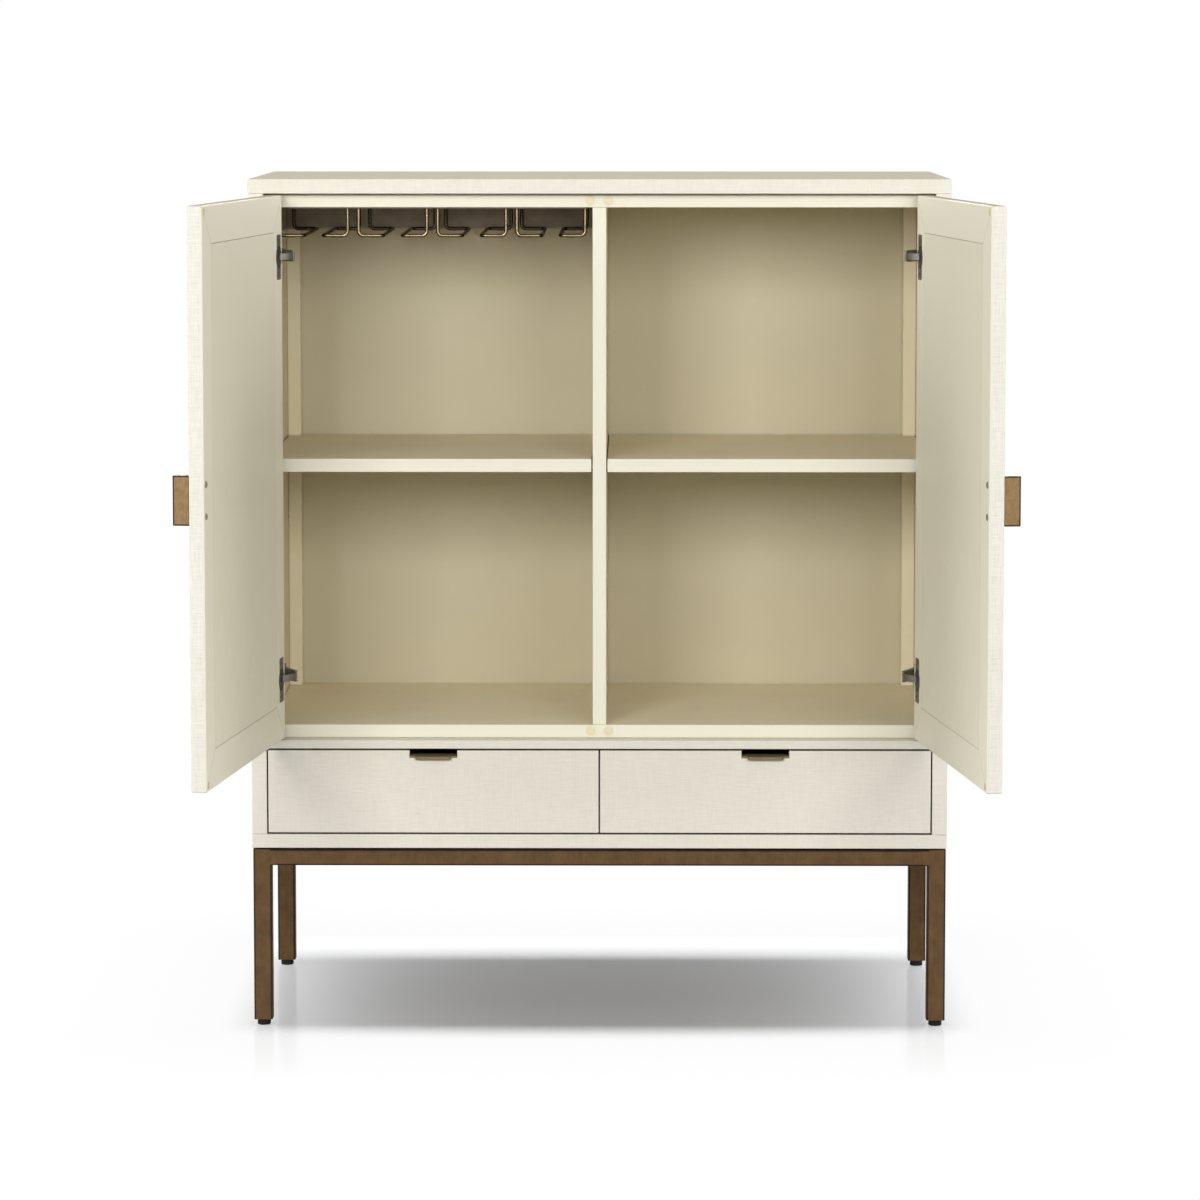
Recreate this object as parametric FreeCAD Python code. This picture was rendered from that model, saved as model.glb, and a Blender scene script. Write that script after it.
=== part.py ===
# Bar cabinet on a bronze tube base: two doors over two drawers, a shelf in each bay and a stemware rack.
# Millimetres, +Z up, front towards -Y. The origin is on the floor, under the middle of the whole outline
# with the doors standing open as they rest.
import FreeCAD, Part
import os

Vector = FreeCAD.Vector

# Case
case_width = 1016.0
case_depth = 457.0
side_thickness = 22.0
top_thickness = 21.0
bottom_thickness = 20.4
mid_thickness = 12.5
inner_top_thickness = 20.5
inner_bottom_thickness = 19.5
divider_thickness = 20.0
partition_thickness = 18.0
back_thickness = 12.0
back_inset = 2.0
bay_height = 757.0
drawer_bay_height = 126.5
panel_rounding = 1.0
shadow_groove_height = 3.5
shadow_groove_depth = 6.0
batten_width = 20.0
batten_depth = 22.0

# Shelves and their pins
shelf_thickness = 19.5
shelf_height = 371.5
shelf_side_gap = 1.6
shelf_back_gap = 1.0
shelf_setback = 1.0
notch_gap = 1.2
pin_radius = 2.5
pin_buried = 9.0
pin_shown = 11.0
pin_inset = 48.0

# Base
glide_height = 9.2
glide_radius = 9.8
glide_rounding = 1.5
plug_height = 14.0
plug_play = 0.1
leg_size = 27.0
leg_length = 253.0
leg_rounding = 2.6
tube_wall = 2.0
rail_height = 23.8
base_inset = 1.0
base_back_inset = 8.0
pad_thickness = 2.4
pad_length = 46.0
pad_width = 20.0
base_screw_radius = 2.5
base_screw_head_radius = 4.5
base_screw_head_height = 3.0
base_screw_grip = 14.0

# Doors
door_thickness = 21.0
door_lining = 3.0
door_border = 52.0
lining_line = 0.6
door_side_gap = 2.0
door_end_gap = 2.5
door_meeting_gap = 2.0
door_stop_gap = 3.0
door_rounding = 1.5
door_open_angle = 98.0
pivot_from_side = 8.0
pivot_from_front = 3.0
door_pull_height = 68.0
door_pull_reach = 23.0
door_pull_width = 16.0
door_pull_from_edge = 2.2
door_pull_rounding = 0.9
pull_screw_spacing = 43.5
screw_radius = 2.0
screw_head_radius = 3.6
screw_head_height = 1.6
pull_screw_grip = 12.0
pull_screw_head_radius = 4.9
pull_screw_head_height = 1.7
bumper_radius = 5.8
bumper_thickness = 2.6
bumper_from_edge = 12.0
bumper_from_end = 8.5
strike_radius = 5.0
strike_depth = 1.2

# Concealed hinges, measured from the side panel's inner face and from the case front
hinge_from_end = 88.5
cup_centre_from_edge = 20.8
cup_radius = 17.4
cup_wall = 1.0
cup_depth = 12.2
cup_floor = 0.8
cup_play = 0.1
flange_height = 65.0
flange_width = 26.0
flange_thickness = 1.2
flange_rounding = 3.0
cup_screw_spacing = 48.0
cup_screw_grip = 9.0
link_pin_from_side = 41.0
link_pin_from_front = 25.4
link_end_from_side = 10.2
link_end_from_front = 15.9
link_rise = 3.3
link_thickness = 2.0
link_height = 10.0
link_knuckle_radius = 2.6
link_pin_radius = 1.3
link_pin_play = 0.05
link_turn_share = 0.43
arm_height = 16.0
arm_cheek = 1.8
arm_ear_radius = 2.8
arm_slot_radius = 4.6
arm_rear = 104.0
arm_knee = 66.0
arm_depth = 12.0
plate_height = 54.0
plate_wing_width = 18.0
plate_wing_thickness = 2.5
plate_body_thickness = 9.0
plate_front = 60.0
plate_rear = 100.0
plate_screw_spacing = 32.0

# Drawers
front_thickness = 21.0
drawer_gap = 2.5
drawer_side_gap = 2.0
drawer_wall = 12.0
drawer_box_height = 88.0
drawer_box_lift = 16.0
drawer_back_gap = 30.0
drawer_floor_thickness = 6.0
drawer_floor_lift = 10.0
drawer_groove = 5.0
notch_width = 70.0
notch_depth = 11.0
tab_thickness = 3.0
lip_width = 53.0
lip_reach = 8.0
lip_thickness = 2.4
lip_drop = 4.4
lip_corner = 3.0
runner_space = 12.7
runner_sheet = 1.2
runner_height = 45.0
runner_back_gap = 36.0
runner_setback = 3.0
runner_play = 0.4
runner_rise = 40.0
case_flange = 9.0
middle_offset = 3.4
middle_flange = 6.6
drawer_flange = 5.6

# Stemware rack
rack_wire_radius = 2.6
rack_channels = 4
rack_wire_gap = 15.9
rack_left_margin = 20.6
rack_right_margin = 10.9
rack_stem_slot = 27.2
rack_drop = 41.5
rack_front = 40.0
rack_back_gap = 138.0
rack_bend = 7.0
rack_strip_width = 16.0
rack_strip_thickness = 2.0
rack_strip_overhang = 4.0
stop_plate_thickness = 1.5
stop_plate_lift = 1.5
rack_screw_grip = 12.0

# Levels and planes that follow
overrun = 5.0
leg_top = glide_height + leg_length
case_bottom = leg_top + pad_thickness
drawer_floor = case_bottom + bottom_thickness
drawer_ceiling = drawer_floor + drawer_bay_height
door_sill = drawer_ceiling + mid_thickness
bay_floor = door_sill + inner_bottom_thickness
bay_ceiling = bay_floor + bay_height
door_head = bay_ceiling + inner_top_thickness
overall_height = door_head + top_thickness
half_width = case_width / 2
inner_half = half_width - side_thickness
inner_front = door_thickness + door_stop_gap
back_plane = case_depth - back_inset - back_thickness
door_edge = -inner_half + door_side_gap
door_free_edge = -door_meeting_gap / 2
door_bottom = door_sill + door_end_gap
door_top = door_head - door_end_gap
shelf_bottom = bay_floor + shelf_height
shelf_front = inner_front + shelf_setback
drawer_box_rear = back_plane - drawer_back_gap
runner_front = inner_front + runner_setback
runner_length = back_plane - runner_back_gap - runner_front
bay_width = inner_half - divider_thickness / 2
rack_pitch = (bay_width - rack_left_margin - rack_right_margin + rack_wire_gap) / rack_channels
rack_channel = rack_pitch - rack_wire_gap
rack_foot = (rack_channel - rack_stem_slot) / 2
rack_rear = back_plane - rack_back_gap

nodes = {}


def block(low, high):
    """A box between two opposite corners."""
    size = [b - a for a, b in zip(low, high)]
    return Part.makeBox(*size, Vector(*low))


def eased(low, high, radius=panel_rounding):
    """A panel with all its edges eased."""
    body = block(low, high)
    return body.makeFillet(radius, body.Edges)


def rod(centre, radius, length, direction):
    return Part.makeCylinder(radius, length, Vector(*centre), Vector(*direction))


def mirrored(shapes):
    return [s.mirror(Vector(0, 0, 0), Vector(1, 0, 0)) for s in shapes]


def plate(points, low, high):
    """A flat outline in X and Y, from one level to another."""
    corners = [Vector(x, y, low) for x, y in points]
    face = Part.Face(Part.makePolygon(corners + corners[:1]))
    return face.extrude(Vector(0, 0, high - low))


def rounded_tube(low, high, axis, wall):
    """A square tube with rounded long edges, open at both ends along its axis."""
    outer = block(low, high)
    long_edges = [e for e in outer.Edges if abs(e.tangentAt(e.FirstParameter)[axis]) > 0.5]
    outer = outer.makeFillet(leg_rounding, long_edges)
    inner_low = [a + (0 if i == axis else wall) for i, a in enumerate(low)]
    inner_high = [b - (0 if i == axis else wall) for i, b in enumerate(high)]
    inner_low[axis] -= overrun
    inner_high[axis] += overrun
    return outer.cut(block(inner_low, inner_high))


def bent_path(points, radius):
    """A line through the points with each corner turned by an arc."""
    edges = []
    start = Vector(*points[0])
    for before, corner, after in zip(points, points[1:], points[2:]):
        corner_v = Vector(*corner)
        into = (Vector(*before) - corner_v).normalize()
        out = (Vector(*after) - corner_v).normalize()
        arc_start = corner_v + into * radius
        arc_end = corner_v + out * radius
        centre = corner_v + (into + out) * radius
        middle = centre - (into + out).normalize() * radius
        edges.append(Part.LineSegment(start, arc_start).toShape())
        edges.append(Part.Arc(arc_start, middle, arc_end).toShape())
        start = arc_end
    edges.append(Part.LineSegment(start, Vector(*points[-1])).toShape())
    return Part.Wire(edges)


def wire_rod(points, radius, bend):
    path = bent_path(points, bend)
    first, second = Vector(*points[0]), Vector(*points[1])
    section = Part.Wire(Part.makeCircle(radius, first, second - first))
    return path.makePipeShell([section], True, True)


def screw(head_top, direction, head_radius, head_height, radius, grip):
    """A screw whose head's outer face is at head_top and whose shank runs along direction."""
    top = Vector(*head_top)
    along = Vector(*direction)
    head = Part.makeCylinder(head_radius, head_height, top, along)
    shank = Part.makeCylinder(radius, grip + head_height, top, along)
    return head.fuse(shank)


def cut_all(body, tools):
    for tool in tools:
        body = body.cut(tool)
    return body


def add(name, *shapes):
    nodes[name] = list(shapes)


# Case panels
def build_case():
    add("top_panel", eased((-half_width, 0, door_head), (half_width, case_depth, overall_height)))
    add("bottom_panel", eased((-half_width, 0, case_bottom), (half_width, case_depth, drawer_floor)))
    side = eased((-half_width, 0, drawer_floor), (-inner_half, case_depth, door_head))
    add("left_side_panel", side)
    add("right_side_panel", *mirrored([side]))
    back_high = (inner_half, back_plane + back_thickness, door_head)
    add("back_panel", block((-inner_half, back_plane, drawer_floor), back_high))
    add("mid_panel", eased((-inner_half, 0, drawer_ceiling), (inner_half, back_plane, door_sill)))
    top = eased((-inner_half, inner_front, bay_ceiling), (inner_half, back_plane, door_head))
    groove_low = (-inner_half - overrun, inner_front - overrun, door_head - shadow_groove_height)
    groove_high = (inner_half + overrun, inner_front + shadow_groove_depth, door_head + overrun)
    add("inner_top", top.cut(block(groove_low, groove_high)))
    add("inner_bottom", eased((-inner_half, inner_front, door_sill), (inner_half, back_plane, bay_floor)))
    half = divider_thickness / 2
    add("centre_divider", eased((-half, inner_front, bay_floor), (half, back_plane, bay_ceiling)))
    half = partition_thickness / 2
    add("drawer_partition", block((-half, inner_front, drawer_floor), (half, back_plane, drawer_ceiling)))
    batten = batten_shape()
    add("rear_battens", batten, *mirrored([batten]))


def batten_shape():
    low = (-inner_half, back_plane - batten_depth, bay_floor)
    return eased(low, (-inner_half + batten_width, back_plane, bay_ceiling))


# Shelves, each on four pins, with a rear corner cut out for the batten
def build_shelves():
    left = -inner_half + shelf_side_gap
    right = -divider_thickness / 2 - shelf_side_gap
    top = shelf_bottom + shelf_thickness
    shelf = eased((left, shelf_front, shelf_bottom), (right, back_plane - shelf_back_gap, top))
    notch_low = (-inner_half - overrun, back_plane - batten_depth - notch_gap, shelf_bottom - overrun)
    notch_high = (-inner_half + batten_width + notch_gap, case_depth, top + overrun)
    shelf = shelf.cut(block(notch_low, notch_high))
    add("left_shelf", shelf)
    add("right_shelf", *mirrored([shelf]))
    pins = []
    length = pin_buried + pin_shown
    for y in (shelf_front + pin_inset, back_plane - batten_depth - pin_inset):
        z = shelf_bottom - pin_radius
        pins.append(rod((-inner_half - pin_buried, y, z), pin_radius, length, (1, 0, 0)))
    divider_pins = []
    for y in (shelf_front + pin_inset, back_plane - batten_depth - pin_inset):
        z = shelf_bottom - pin_radius
        start = -divider_thickness / 2 - pin_shown
        divider_pins.append(rod((start, y, z), pin_radius, 2 * pin_shown + divider_thickness, (1, 0, 0)))
    add("shelf_pins", *pins, *mirrored(pins), *divider_pins)
    nodes["left_side_panel"] = [cut_all(nodes["left_side_panel"][0], pins)]
    nodes["right_side_panel"] = [cut_all(nodes["right_side_panel"][0], mirrored(pins))]
    nodes["centre_divider"] = [cut_all(nodes["centre_divider"][0], divider_pins)]


# Base of square tube on glides, with thin pads that leave a shadow line under the case
def build_base():
    outer = half_width - base_inset
    front = base_inset
    rear = case_depth - base_back_inset
    for name, y in (("front_legs", front), ("back_legs", rear - leg_size)):
        low = (-outer, y, glide_height)
        leg = rounded_tube(low, (-outer + leg_size, y + leg_size, leg_top), 2, tube_wall)
        cap_low = (-outer + tube_wall, y + tube_wall, leg_top - tube_wall)
        cap_high = (-outer + leg_size - tube_wall, y + leg_size - tube_wall, leg_top)
        leg = leg.fuse(block(cap_low, cap_high)).removeSplitter()
        add(name, leg, *mirrored([leg]))
    rail_low = leg_top - rail_height
    inside = outer - leg_size
    for name, y in (("front_rail", front), ("back_rail", rear - leg_size)):
        add(name, rounded_tube((-inside, y, rail_low), (inside, y + leg_size, leg_top), 0, tube_wall))
    side_low = (-outer, front + leg_size, rail_low)
    side_rail = rounded_tube(side_low, (-inside, rear - leg_size, leg_top), 1, tube_wall)
    add("side_rails", side_rail, *mirrored([side_rail]))
    glides = []
    for y in (front + leg_size / 2, rear - leg_size / 2):
        x = -outer + leg_size / 2
        disc = rod((x, y, 0), glide_radius, glide_height, (0, 0, 1))
        rim = [e for e in disc.Edges if e.BoundBox.ZMax < glide_rounding]
        disc = disc.makeFillet(glide_rounding, rim)
        half = leg_size / 2 - tube_wall - plug_play
        plug_low = (x - half, y - half, glide_height)
        plug = block(plug_low, (x + half, y + half, glide_height + plug_height))
        glides.append(disc.fuse(plug))
    add("leg_glides", *glides, *mirrored(glides))
    build_pads(outer, front, rear)


def build_pads(outer, front, rear):
    """Pads on the rails and the screws that pass through them into the bottom panel."""
    pads, screws = [], []
    x_end = outer - leg_size - pad_length
    for y in (front + leg_size / 2, rear - leg_size / 2):
        for x in (-x_end, 0, x_end):
            low = (x - pad_length / 2, y - pad_width / 2, leg_top)
            pads.append(block(low, (x + pad_length / 2, y + pad_width / 2, case_bottom)))
            grip = tube_wall + pad_thickness + base_screw_grip
            top = (x, y, leg_top - tube_wall - base_screw_head_height)
            head = (base_screw_head_radius, base_screw_head_height)
            screws.append(screw(top, (0, 0, 1), *head, base_screw_radius, grip))
    add("base_pads", *[cut_all(p, screws) for p in pads])
    add("base_screws", *screws)
    for name in ("front_rail", "back_rail", "bottom_panel"):
        nodes[name] = [cut_all(nodes[name][0], screws)]


# Hinges: the left pair in the closed place; the link's arc runs from its pin to the cup
def hinge_levels():
    return (door_bottom + hinge_from_end, door_top - hinge_from_end)


def from_side(distance):
    return -inner_half + distance


def flange_outline(level, play, depth, proud=0):
    """Plate and round rim of a cup, sunk in the door's inner face."""
    x = door_edge + cup_centre_from_edge
    half_w = flange_width / 2 + play
    half_h = flange_height / 2 + play
    low = (x - half_w, door_thickness - depth, level - half_h)
    body = block(low, (x + half_w, door_thickness + proud, level + half_h))
    corners = [e for e in body.Edges if abs(e.tangentAt(e.FirstParameter).y) > 0.5]
    body = body.makeFillet(flange_rounding, corners)
    disc = rod((x, door_thickness - depth, level), cup_radius + play, depth + proud, (0, 1, 0))
    return body.fuse(disc)


def hinge_cup(level):
    x = door_edge + cup_centre_from_edge
    full = cup_depth + cup_floor
    outer = rod((x, door_thickness - full, level), cup_radius, full, (0, 1, 0))
    body = flange_outline(level, 0, flange_thickness).fuse(outer)
    inner = rod((x, door_thickness - cup_depth, level), cup_radius - cup_wall, cup_depth + overrun, (0, 1, 0))
    return body.cut(inner)


def cup_pocket(level):
    x = door_edge + cup_centre_from_edge
    full = cup_depth + cup_floor + cup_play
    outer = rod((x, door_thickness - full, level), cup_radius + cup_play, full + overrun, (0, 1, 0))
    return outer.fuse(flange_outline(level, cup_play, flange_thickness, overrun))


def cup_screws(level):
    x = door_edge + cup_centre_from_edge
    head = (screw_head_radius, screw_head_height, screw_radius, cup_screw_grip)
    levels = (level - cup_screw_spacing / 2, level + cup_screw_spacing / 2)
    return [screw((x, door_thickness, z), (0, -1, 0), *head) for z in levels]


def hinge_link(level):
    """A curved strip with a knuckle round its pin; built closed, then turned to the open place."""
    pin = Vector(from_side(link_pin_from_side), link_pin_from_front, level - link_height / 2)
    end = Vector(from_side(link_end_from_side), link_end_from_front, level - link_height / 2)
    along = (end - pin).normalize()
    across = Vector(-along.y, along.x, 0)
    half = link_thickness / 2
    middle = (pin + end) * 0.5 + across * link_rise
    outer = Part.Arc(pin + across * half, middle + across * half, end + across * half).toShape()
    tip = Part.Arc(end + across * half, end + along * half, end - across * half).toShape()
    inner = Part.Arc(end - across * half, middle - across * half, pin - across * half).toShape()
    root = Part.LineSegment(pin - across * half, pin + across * half).toShape()
    strip = Part.Face(Part.Wire([outer, tip, inner, root])).extrude(Vector(0, 0, link_height))
    knuckle = Part.makeCylinder(link_knuckle_radius, link_height, pin)
    bore_start = pin - Vector(0, 0, overrun)
    bore = Part.makeCylinder(link_pin_radius + link_pin_play, link_height + 2 * overrun, bore_start)
    link = strip.fuse(knuckle).cut(bore).removeSplitter()
    link.rotate(pin, Vector(0, 0, 1), link_turn_share * door_open_angle)
    return link


def hinge_arm(level):
    """A cranked channel from the mounting plate to the ears that hold the link's pin."""
    pin_x = from_side(link_pin_from_side)
    ear = arm_ear_radius
    seat = from_side(plate_body_thickness)
    low, high = level - arm_height / 2, level + arm_height / 2
    outline = [
        (seat, arm_rear),
        (seat, arm_knee),
        (pin_x - ear, link_pin_from_front),
        (pin_x + ear, link_pin_from_front),
        (seat + arm_depth, arm_knee + arm_depth / 2),
        (seat + arm_depth, arm_rear),
    ]
    body = plate(outline, low, high)
    body = body.fuse(rod((pin_x, link_pin_from_front, low), ear, arm_height, (0, 0, 1))).removeSplitter()
    inside = arm_height - 2 * arm_cheek
    slot = rod((pin_x, link_pin_from_front, low + arm_cheek), arm_slot_radius, inside, (0, 0, 1))
    pin = link_pin(level)
    return cut_all(body, [slot, pin])


def link_pin(level):
    start = (from_side(link_pin_from_side), link_pin_from_front, level - arm_height / 2)
    return rod(start, link_pin_radius, arm_height, (0, 0, 1))


def mounting_plate(level):
    wing_front = (plate_front + plate_rear - plate_wing_width) / 2
    wing_low = (-inner_half, wing_front, level - plate_height / 2)
    wing_high = (from_side(plate_wing_thickness), wing_front + plate_wing_width, level + plate_height / 2)
    body_low = (-inner_half, plate_front, level - arm_height / 2)
    body_high = (from_side(plate_body_thickness), plate_rear, level + arm_height / 2)
    return block(wing_low, wing_high).fuse(block(body_low, body_high)).removeSplitter()


def plate_screws(level):
    y = (plate_front + plate_rear) / 2
    head = (screw_head_radius, screw_head_height, screw_radius, cup_screw_grip)
    x = from_side(plate_wing_thickness + screw_head_height)
    levels = (level - plate_screw_spacing / 2, level + plate_screw_spacing / 2)
    return [screw((x, y, z), (-1, 0, 0), *head) for z in levels]


# Doors: built closed on the left, then turned open and mirrored
def mitred_strips():
    """Four strips round the door's inner face, meeting on mitre lines."""
    low_y, high_y = door_thickness - door_lining, door_thickness
    left, right, bottom, top = door_edge, door_free_edge, door_bottom, door_top
    corners = [(left, bottom), (right, bottom), (right, top), (left, top)]
    b = door_border
    inner = [(left + b, bottom + b), (right - b, bottom + b), (right - b, top - b), (left + b, top - b)]
    strips = []
    for i in range(len(corners)):
        j = (i + 1) % len(corners)
        ring = [corners[i], corners[j], inner[j], inner[i]]
        points = [Vector(x, low_y, z) for x, z in ring]
        face = Part.Face(Part.makePolygon(points + points[:1]))
        strips.append(face.extrude(Vector(0, high_y - low_y, 0)))
    return strips


def door_pieces():
    core_high = (door_free_edge, door_thickness, door_top)
    whole = eased((door_edge, 0, door_bottom), core_high, door_rounding)
    cut_low = (door_edge - overrun, door_thickness - door_lining, door_bottom - overrun)
    back_zone = block(cut_low, (door_free_edge + overrun, door_thickness + overrun, door_top + overrun))
    core = whole.cut(back_zone)
    strips = [s.common(whole) for s in mitred_strips()]
    inset = door_border + lining_line
    panel_low = (door_edge + inset, door_thickness - door_lining, door_bottom + inset)
    panel = block(panel_low, (door_free_edge - inset, door_thickness, door_top - inset))
    pockets = [cup_pocket(z) for z in hinge_levels()]
    cups = [hinge_cup(z) for z in hinge_levels()]
    cup_bolts = [s for z in hinge_levels() for s in cup_screws(z)]
    pull, pull_bolts = door_pull()
    strikes = door_strikes()
    cutters = pockets + cup_bolts + pull_bolts + strikes
    lining = [cut_all(s, cutters) for s in strips] + [panel]
    return {
        "door_panel": [cut_all(core, cutters)],
        "door_lining": lining,
        "door_pull": [cut_all(pull, pull_bolts)],
        "door_fittings": cup_bolts + pull_bolts + strikes,
        "hinge_cups": [cut_all(c, cup_bolts) for c in cups],
    }


def door_pull():
    right = door_free_edge - door_pull_from_edge
    middle = (door_bottom + door_top) / 2
    low = (right - door_pull_width, -door_pull_reach, middle - door_pull_height / 2)
    pull = eased(low, (right, 0, middle + door_pull_height / 2), door_pull_rounding)
    x = right - door_pull_width / 2
    head_top = door_thickness + pull_screw_head_height
    grip = door_thickness + pull_screw_grip
    head = (pull_screw_head_radius, pull_screw_head_height, screw_radius, grip)
    levels = (middle - pull_screw_spacing / 2, middle + pull_screw_spacing / 2)
    return pull, [screw((x, head_top, z), (0, -1, 0), *head) for z in levels]


def door_strikes():
    x = door_free_edge - bumper_from_edge
    levels = (door_bottom + bumper_from_end, door_top - bumper_from_end)
    return [rod((x, door_thickness - strike_depth, z), strike_radius, strike_depth, (0, 1, 0)) for z in levels]


def build_doors():
    pivot = Vector(from_side(pivot_from_side), pivot_from_front, 0)
    for name, shapes in door_pieces().items():
        for shape in shapes:
            shape.rotate(pivot, Vector(0, 0, 1), -door_open_angle)
        add("left_" + name, *shapes)
        add("right_" + name, *mirrored(shapes))
    discs = []
    x = door_free_edge - bumper_from_edge
    for z in (door_bottom + bumper_from_end, door_top - bumper_from_end):
        discs.append(rod((x, inner_front, z), bumper_radius, bumper_thickness, (0, -1, 0)))
    add("door_bumpers", *discs, *mirrored(discs))


def build_hinges():
    levels = hinge_levels()
    links = [hinge_link(z) for z in levels]
    add("left_hinge_links", *links)
    add("right_hinge_links", *mirrored(links))
    arms = [hinge_arm(z) for z in levels]
    add("left_hinge_arms", *arms)
    add("right_hinge_arms", *mirrored(arms))
    bolts = [s for z in levels for s in plate_screws(z)]
    plates = [cut_all(mounting_plate(z), bolts) for z in levels]
    add("hinge_plates", *plates, *mirrored(plates))
    pins = [link_pin(z) for z in levels]
    add("hinge_pins", *pins, *mirrored(pins))
    add("hinge_screws", *bolts, *mirrored(bolts))
    nodes["left_side_panel"] = [cut_all(nodes["left_side_panel"][0], bolts)]
    nodes["right_side_panel"] = [cut_all(nodes["right_side_panel"][0], mirrored(bolts))]


# Drawers: built on the left and mirrored
def channel(x_web, x_lip, outer_half, level, front, length):
    """A rolled channel with its web at x_web and both flanges reaching to x_lip."""
    sheet = runner_sheet if x_lip > x_web else -runner_sheet
    lows, highs = min(x_web, x_lip), max(x_web, x_lip)
    body = block((lows, front, level - outer_half), (highs, front + length, level + outer_half))
    hollow_low = min(x_web + sheet, x_lip + sheet)
    hollow_high = max(x_web + sheet, x_lip + sheet)
    half = outer_half - runner_sheet
    low = (hollow_low, front - overrun, level - half)
    return body.cut(block(low, (hollow_high, front + length + overrun, level + half)))


def runner_members(wall_x, side):
    """Case, middle and drawer members on one wall; side is 1 where the drawer lies towards +X."""
    level = drawer_floor + drawer_box_lift + runner_rise
    half = runner_height / 2
    middle_half = half - runner_sheet - runner_play
    drawer_half = middle_half - runner_sheet - runner_play
    places = (
        (0, case_flange, half),
        (middle_offset, middle_offset + middle_flange, middle_half),
        (runner_space, runner_space - drawer_flange, drawer_half),
    )
    return [
        channel(wall_x + side * web, wall_x + side * lip, h, level, runner_front, runner_length)
        for web, lip, h in places
    ]


def drawer_pieces():
    left, right = -inner_half + drawer_side_gap, -drawer_side_gap / 2
    bottom, top = drawer_floor + drawer_gap, drawer_ceiling - drawer_gap
    centre = (left + right) / 2
    front = eased((left, 0, bottom), (right, front_thickness, top))
    notch_low = (centre - notch_width / 2, -overrun, top - notch_depth)
    front = front.cut(block(notch_low, (centre + notch_width / 2, front_thickness + overrun, top + overrun)))
    box_left = -inner_half + runner_space
    box_right = -partition_thickness / 2 - runner_space
    base = drawer_floor + drawer_box_lift
    high = base + drawer_box_height
    rear = drawer_box_rear
    wall = drawer_wall
    sides = [
        block((box_left, front_thickness, base), (box_left + wall, rear, high)),
        block((box_right - wall, front_thickness, base), (box_right, rear, high)),
        block((box_left + wall, rear - wall, base), (box_right - wall, rear, high)),
    ]
    floor_low = (box_left + wall - drawer_groove, front_thickness, base + drawer_floor_lift)
    floor_top = base + drawer_floor_lift + drawer_floor_thickness
    floor = block(floor_low, (box_right - wall + drawer_groove, rear - wall + drawer_groove, floor_top))
    return {
        "drawer_front": [front],
        "drawer_walls": [s.cut(floor) for s in sides],
        "drawer_bottom": [floor],
        "drawer_pull": [edge_pull(centre, top - notch_depth)],
    }


def edge_pull(centre, seat):
    """A tab in the notch with a lip that reaches out and turns down."""
    top = seat + tab_thickness
    half = notch_width / 2
    tab = block((centre - half, 0, seat), (centre + half, front_thickness, top))
    lip_half = lip_width / 2
    outline = [
        (centre - lip_half, 0),
        (centre - lip_half, -lip_reach + lip_corner),
        (centre - lip_half + lip_corner, -lip_reach),
        (centre + lip_half - lip_corner, -lip_reach),
        (centre + lip_half, -lip_reach + lip_corner),
        (centre + lip_half, 0),
    ]
    lip = plate(outline, top - lip_drop, top)
    under_low = (centre - half, -lip_reach + lip_thickness, top - lip_drop - overrun)
    lip = lip.cut(block(under_low, (centre + half, overrun, top - lip_thickness)))
    return tab.fuse(lip).removeSplitter()


def build_drawers():
    for name, shapes in drawer_pieces().items():
        add("left_" + name, *shapes)
        add("right_" + name, *mirrored(shapes))
    wall = runner_members(-inner_half, 1)
    middle = runner_members(-partition_thickness / 2, -1)
    case_members = [wall[0], middle[0]]
    add("runner_case_members", *case_members, *mirrored(case_members))
    for name, index in (("runner_middle_members", 1), ("runner_drawer_members", 2)):
        pair = [wall[index], middle[index]]
        add("left_" + name, *pair)
        add("right_" + name, *mirrored(pair))


# Stemware rack: one pair of bent wires for each channel, hung from two flat strips
def build_rack():
    strip_bottom = bay_ceiling - rack_strip_thickness
    foot_level = bay_ceiling - rack_drop
    rear = rack_rear
    last = -divider_thickness / 2 - rack_right_margin
    first = last - rack_channel - (rack_channels - 1) * rack_pitch
    stops = []
    for i in range(rack_channels):
        left = first + i * rack_pitch
        right = left + rack_channel
        wires = []
        for x, foot in ((left, left + rack_foot), (right, right - rack_foot)):
            route = [
                (x, rack_front, strip_bottom),
                (x, rack_front, foot_level),
                (foot, rack_front, foot_level),
                (foot, rear, foot_level),
                (x, rear, foot_level),
                (x, rear, strip_bottom),
            ]
            wires.append(wire_rod(route, rack_wire_radius, rack_bend))
        add("stemware_channel_" + str(i + 1), *wires)
        low = (left, rear + rack_wire_radius, foot_level + stop_plate_lift)
        stops.append(block(low, (right, rear + rack_wire_radius + stop_plate_thickness, strip_bottom)))
    add("stemware_stop_plates", *stops)
    strips, bolts = [], []
    for y in (rack_front, rear):
        low = (first - rack_strip_overhang, y - rack_strip_width / 2, strip_bottom)
        strips.append(block(low, (last + rack_strip_overhang, y + rack_strip_width / 2, bay_ceiling)))
        for i in range(rack_channels):
            x = first + i * rack_pitch + rack_channel / 2
            top = (x, y - rack_strip_width / 4, strip_bottom - screw_head_height)
            head = (screw_head_radius, screw_head_height, screw_radius)
            bolts.append(screw(top, (0, 0, 1), *head, rack_strip_thickness + rack_screw_grip))
    add("stemware_strips", *[cut_all(s, bolts) for s in strips])
    add("stemware_screws", *bolts)
    nodes["inner_top"] = [cut_all(nodes["inner_top"][0], bolts)]


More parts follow.
